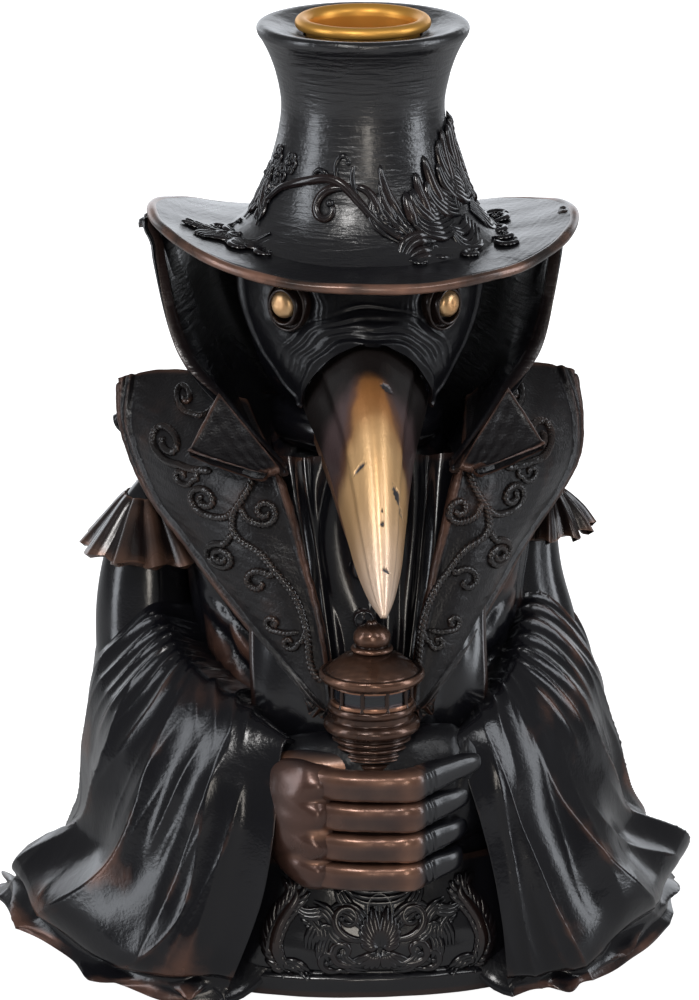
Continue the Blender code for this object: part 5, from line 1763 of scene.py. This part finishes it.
def finger(number, z):
    """From the knuckle across the rod to the middle joint, then back into the dark to the nail."""
    shrink = 1 - 0.03 * number
    tip_x = 22.5 - 1.8 * number
    bones = [
        (-16.5, -50.0, z - 0.3), (-13.5, -54.2, z), (-9.8, -58.0, z), (-5, -60.0, z), (2, -60.9, z),
        (6.3, -60.9, z + 0.1), (8.4, -59.7, z + 0.3), (11.5, -57.4, z + 0.9), (16, -54.6, z + 1.6),
        (tip_x, -50.6, z + 2.3),
    ]
    path = through(bones, 130)
    x = path[:, 0]
    knuckle, joint, towards_nail = hump(x, -12.5, 2.6), hump(x, 6.6, 2.0), ease(x, 8, 22)
    high = 3.28 + 0.25 * knuckle + 0.22 * joint - 1.0 * towards_nail - 0.10 * hump(x, -3, 4)
    deep = 3.0 + 0.30 * knuckle + 0.35 * joint - 1.0 * towards_nail
    end = np.sqrt(np.clip(1 - np.linspace(-1, 1, 130) ** 30, 0, 1)) * 0.98 + 0.02
    crumple = 1 + 0.018 * wobble(x / 1.6, path[:, 2] + 3 * number, number)
    rings = boxy(path, high * end * shrink * crumple, deep * end * shrink, (0, 0, 1), 2.9)
    # Creases of the glove on the inner side of each joint.
    ridges = -0.18 * (hump(x, 9.0, 0.45) + hump(x, 10.4, 0.35))
    ridges = ridges + 0.06 * wobble(x / 2.2, 2.0 * number + 0 * x, number)
    out = unit(rings - path[:, None])
    return closed_tube(rings + out * ridges[:, None, None])


def back_of_hand():
    """Ovals from the wrist to the knuckles: four swellings run on from the fingers, and tendons between."""
    rings = [
        (-27.5, -40, 44, 4.0, 5.5), (-24.3, -45.5, 43.4, 5.0, 8.4), (-20.8, -50.5, 42.6, 5.8, 11.6),
        (-16.6, -54.4, 41.6, 5.6, 13.8), (-13.0, -56.4, 41.0, 4.3, 14.0), (-9.5, -57.2, 41.0, 2.2, 13.2),
    ]
    fine = through(rings, 84)
    angle = full_turn(144)[None, :]
    x, y, z, deep, high = (fine[:, k][:, None] for k in range(5))
    c, s = np.cos(angle), np.sin(angle)
    zz = z + high * squared_off(s, 2.6)
    yy = y + deep * squared_off(c, 2.3)
    toward = ease(x, -21, -12)
    knuckles = sum(hump(zz, height, 2.5) for height in FINGER_HEIGHTS)
    between = sum(hump(zz, (a + b) / 2, 1.0) for a, b in zip(FINGER_HEIGHTS, FINGER_HEIGHTS[1:]))
    front = ease(-c, -0.2, 0.5)
    swelling = toward * knuckles * hump(x, -12.6, 4.2) - 0.7 * toward * between
    yy = yy - front * (swelling - 0.25 * wobble(x / 3, zz / 3, 2.0))
    yy = yy + front * 0.9 * hump(zz - 0.5 * (x + 20), 34.0, 1.6) * hump(x, -20, 5)
    return closed_tube(np.stack([x + 0 * angle, yy, zz], axis=-1))


def thumb():
    """The thumb and the web of the hand: one broad dark swelling behind the first finger."""
    path = through([(-22, -44, 47), (-15, -47, 50.0), (-6, -48, 51.5), (3, -48, 51.5), (11, -45, 50)], 90)
    end = np.sqrt(np.clip(1 - np.linspace(-1, 1, 90) ** 6, 0, 1)) * 0.97 + 0.03
    return closed_tube(boxy(path, 6.6 * end, 8.6 * end, (0, 0, 1), 2.2, 56))


hand = [back_of_hand(), thumb()] + [finger(number, z) for number, z in enumerate(FINGER_HEIGHTS)]
spots = np.concatenate([points for points, _ in hand])
# Painted shade: past the bend, where the fingers turn away, the glove is darkened to black and bare of paste.
# It is also darkened towards the wrist, over the thumb and towards the back.
shade = np.max(
    [ease(spots[:, 0], 7.6, 10.5), ease(-spots[:, 0], 16, 26) * 0.55, ease(spots[:, 2], 53.2, 56.5)], axis=0
)
shade = np.maximum(shade, 0.75 * ease(spots[:, 1], -52, -46))
# Each finger keeps its copper along its upper edge and at both joints as a painted highlight, and is darkened
# below and between them as painted shade.
high_on = np.min([np.abs(spots[:, 2] - height - 2.4) for height in FINGER_HEIGHTS], axis=0)
joints = np.maximum(hump(spots[:, 0], 6.0, 2.4), hump(spots[:, 0], -10.5, 3.2))
shade = np.maximum(shade, 0.62 * ease(high_on, 0.8, 2.4) * (1 - 0.7 * joints) * ease(spots[:, 0], -15, -9))
piece(
    "hand_right", hand, glove_bronze, instead_of=["glove_right"],
    marks={"shade": shade}, reach=1.8
)


# %% Left hand
def left_mitt():
    """A smooth stack of ovals behind the rod, with one soft fold where the glove meets the sleeve."""
    rings = [
        (28, -43, 47, 5, 9), (21, -46.5, 47, 7, 12), (14, -48, 46.5, 8, 14), (5, -49, 45.5, 9, 15),
        (-6, -49, 45, 9, 15), (-17, -46, 46, 7, 12), (-24, -43, 47, 4, 8),
    ]
    fine = through(rings, 130)
    angle = full_turn(160)[None, :]
    x, y, z, deep, high = (fine[:, k][:, None] for k in range(5))
    fold = 1 - 0.05 * hump(x, 17 + 1.5 * np.sin(angle), 1.0) + 0.012 * wobble(x / 3, 3 * angle, 1.0)
    y, z = y + deep * fold * np.cos(angle), z + high * fold * np.sin(angle)
    return closed_tube(np.stack([x + 0 * angle, y, z], axis=-1))


piece("hand_left", [left_mitt()], mask_black, instead_of=["glove_left"], reach=2.0)

# %% [markdown]
# ## The carved skirt front
#
# Under the hands the skirt carries a carved panel: a palmette in the middle with volutes either
# side, and a tall frond at each edge. It is the hat's drawing kit used again on another surface.
# Only the place function changes, from the hat to the skirt.


# %% Skirt carving
PANEL_MIDDLE = 1.1
skirt_normals = skirt_out * skirt_side


def on_skirt(flat):
    return drop_onto(flat, skirt[::2, ::2], skirt_normals[::2, ::2])


def mirrored_pair(make):
    """A drawing made for one half of the panel, and its mirror image about x = PANEL_MIDDLE."""
    def other(flat):
        return on_skirt(np.asarray(flat, float) * [-1, 1] + [2 * PANEL_MIDDLE, 0])

    return make(on_skirt) + make(other)


def half_panel(place):
    """The drawing for one half: palmette blades, the big scrolls and the frond at the edge."""
    parts = []
    for number in range(7):
        heading = 84 - 17 * number
        line = swept((1.3, 12.6), 8.6 - 0.75 * number, heading, 0.045 * (number - 1), 0.012, 22)
        parts.append(blade(line, 1.05, tip=0.15, place=place))
    for number in range(5):
        line = swept((1.6, 11.6), 6.0 - 0.5 * number, -30 - 15 * number, 0.05, 0.0, 16)
        parts.append(blade(line, 0.85, tip=0.15, place=place))
    parts += volute((2.6, 14.0), 22.0, -4, 1.25, 1.0, place=place)
    parts += volute((4.5, 9.2), 16.0, -18, 1.15, 0.95, place=place)
    parts += volute((8.5, 7.4), 13.0, -12, 1.1, 0.85, place=place)
    parts += volute((10.0, 16.0), 9.0, 30, -1.0, 0.7, place=place)
    parts += volute((6.0, 22.0), 8.5, 60, -1.0, 0.65, place=place)
    parts += comma((3.0, 17.5), 10.5, 52, -0.034, 4, gap=0.85, belly=0.80, place=place)
    parts += comma((6.5, 19.0), 8.5, 38, 0.040, 3, gap=0.8, belly=0.72, place=place)
    parts += leaf((12.0, 14.0), 8.0, 40, 0.04, 2.8, 4, belly=0.72, place=place)
    for root, length, heading, turn in (
        ((13.5, 8.0), 8.5, 70, 0.05), ((15.5, 6.0), 9.0, 50, -0.05), ((11.5, 20.0), 8.0, -30, 0.05),
        ((15.0, 22.0), 7.0, 200, 0.06), ((7.5, 12.5), 8.0, 15, 0.06), ((13.0, 12.0), 6.5, 100, -0.06),
        ((4.0, 6.6), 9.0, 8, 0.05), ((17.0, 12.0), 7.0, 95, 0.05),
    ):
        parts += comma(root, length, heading, turn, 3, gap=0.8, belly=0.72, place=place)
    frond = through(
        [(20.0, 5.8), (22.3, 8.5), (23.4, 12.0), (22.6, 16.0), (20.6, 19.6), (18.6, 22.6), (19.2, 25.4)], 60
    )
    parts.append(blade(frond, 1.3, tip=0.3, place=place))
    parts.append(blade(frond + [1.6, -0.6], 0.9, tip=0.3, place=place))
    for number in range(15):
        at = frond[4 + number * 3 + number // 2]
        ahead = frond[5 + number * 3 + number // 2] - at
        heading = math.degrees(math.atan2(ahead[1], ahead[0]))
        reach = 3.0 + 3.4 * math.sin(math.pi * (number + 1) / 17)
        parts.append(blade(swept(at, reach, heading - 48, 0.16, 0.0, 14), 0.9, place=place))
        parts.append(blade(swept(at, reach * 0.75, heading + 46, -0.2, 0.0, 14), 0.8, place=place))
    return parts


def seed():
    """The bud over the palmette: an outlined oval with three ribs, small leaves and nested swags over it."""
    parts = []
    for number in range(5):
        reach = 15.5 - 1.2 * number
        knots = [(-reach, 28.5), (-0.5 * reach, 26.6 - number), (0, 25.8 - 1.1 * number)]
        knots += [(-x, z) for x, z in knots[1::-1]]
        swag = through([(PANEL_MIDDLE + x, z) for x, z in knots], 50)
        parts.append(blade(swag, 0.62, tip=0.4, place=on_skirt))
    heart = [PANEL_MIDDLE, 20.0]
    outline = (spiral(heart, 1.0, -90, 1.02, 1, inner=0.99, count=40) - heart) * [2.7, 3.4] + heart
    parts.append(blade(outline, 0.6, tip=0.55, root=0.95, at=0.5, place=on_skirt))
    for shift in (-1.1, 0.0, 1.1):
        rib = [(0.4 * shift, 17.4), (shift, 20), (0.4 * shift, 22.6)]
        line = through([(PANEL_MIDDLE + x, z) for x, z in rib], 16)
        parts.append(blade(line, 0.55, place=on_skirt))
    for number in range(7):
        line = swept((PANEL_MIDDLE, 24.4), 5.5, 15 + 25 * number, 0.02 * (number - 3), 0.0, 14)
        parts.append(blade(line, 0.5, place=on_skirt))
    return parts


piece(
    "skirt_carving", mirrored_pair(half_panel) + seed(), relief_black, instead_of=["robe_relief"], reach=0.7
)

# %% [markdown]
# ## Floor, light and camera
#
# Gloss black shows nothing but what it reflects. So the light is a few soft panels, placed where a
# reflection should lie: a tall narrow one at each side, for streaks down the folds, a wide one
# behind, for the pale outlines and the sheen across the brim, two high in front for the grey
# lights on the hat and sleeves, and a small warm one for the gold.


# %% Floor and lights
def soft_panel(name, place, size, power, colour=(1, 1, 1), target=(0, 0, 0.1)):
    """A rectangular light at place, in metres, turned so that its -Z axis points at the target."""
    light = bpy.data.lights.new(name, "AREA")
    light.shape, light.size, light.size_y = "RECTANGLE", size[0], size[1]
    light.energy, light.color = power, colour
    obj = bpy.data.objects.new(name, light)
    obj.location = place
    towards = Vector(target) - Vector(place)
    obj.rotation_euler = towards.to_track_quat("-Z", "Y").to_euler()
    bpy.context.scene.collection.objects.link(obj)
    return obj


def plain_floor():
    """A flat white sheet, far wider than the object, in a plain matt white."""
    mesh = bpy.data.meshes.new("floor")
    half = 6.0
    mesh.from_pydata(
        [(-half, -half, 0), (half, -half, 0), (half, half, 0), (-half, half, 0)], [], [(0, 1, 2, 3)]
    )
    material, tree, shader = new_material("floor_white")
    at = add(tree, "ShaderNodeTexCoord").outputs["Object"]
    tooth = add(tree, "ShaderNodeTexNoise", [("Vector", at), ("Scale", 40.0)]).outputs["Fac"]
    tree.links.new(mixed(tree, tooth, (0.60, 0.60, 0.60), (0.62, 0.62, 0.62)), shader.inputs["Base Color"])
    shader.inputs["Roughness"].default_value = 0.9
    # The floor glows only to the camera, so that it stays white without lighting the black lacquer.
    seen = add(tree, "ShaderNodeLightPath").outputs["Is Camera Ray"]
    tree.links.new(math_node(tree, "MULTIPLY", seen, 1.0), shader.inputs["Emission Strength"])
    shader.inputs["Emission Color"].default_value = (1, 1, 1, 1)
    mesh.materials.append(material)
    floor = bpy.data.objects.new("floor", mesh)
    bpy.context.scene.collection.objects.link(floor)


plain_floor()
world = bpy.data.worlds.new("pale_room")
world.use_nodes = True
world.node_tree.nodes["Background"].inputs["Color"].default_value = (1, 1, 1, 1)
world.node_tree.nodes["Background"].inputs["Strength"].default_value = 0.16
bpy.context.scene.world = world
soft_panel("side_left", (-0.75, -0.20, 0.30), (0.20, 0.8), 2.6, (0.90, 0.94, 1.0))
soft_panel("side_right", (0.75, -0.20, 0.30), (0.20, 0.8), 2.6, (0.90, 0.94, 1.0))
backdrop = soft_panel("backdrop", (0.0, 1.1, 0.32), (2.0, 0.6), 5.5, (0.90, 0.94, 1.0))
backdrop.visible_camera = False  # only its reflections are wanted
soft_panel("high_front", (-0.30, -0.75, 0.85), (0.20, 0.20), 3.4, (1.0, 0.98, 0.96))
soft_panel("high_right", (0.45, -0.60, 0.80), (0.22, 0.22), 1.0, (0.97, 0.98, 1.0))
soft_panel("warm_front", (0.05, -1.1, 0.30), (0.14, 0.4), 1.4, (1.0, 0.93, 0.84))
bpy.context.scene.view_settings.view_transform = "Standard"


# %% Camera
TARGET = Vector((-0.0015, 0.0, 0.097))
DISTANCE, AZIMUTH, ELEVATION = 1.5, math.radians(-4.3), math.radians(15.6)
VIEW_HEIGHT = 0.218  # metres seen from top to bottom at the target
away = Vector(
    (
        math.sin(AZIMUTH) * math.cos(ELEVATION),
        -math.cos(AZIMUTH) * math.cos(ELEVATION),
        math.sin(ELEVATION),
    )
)
lens = bpy.data.cameras.new("camera")
lens.sensor_fit, lens.sensor_height = "VERTICAL", 36.0
lens.lens = lens.sensor_height * DISTANCE / VIEW_HEIGHT
lens.clip_start = 0.01
camera = bpy.data.objects.new("camera", lens)
camera.location = TARGET + away * DISTANCE
camera.rotation_euler = (-away).to_track_quat("-Z", "Y").to_euler()
bpy.context.scene.collection.objects.link(camera)
bpy.context.scene.camera = camera
print("lens:", round(lens.lens, 1), "mm")

# %% [markdown]
# ## Measure and finish
#
# The painted surfaces may stand a little proud of the frame. The last cell counts the pieces and their
# triangles.

# %% Measure and finish
print("pieces:", len(made), "triangles:", sum(len(p.data.loop_triangles) for p in made))
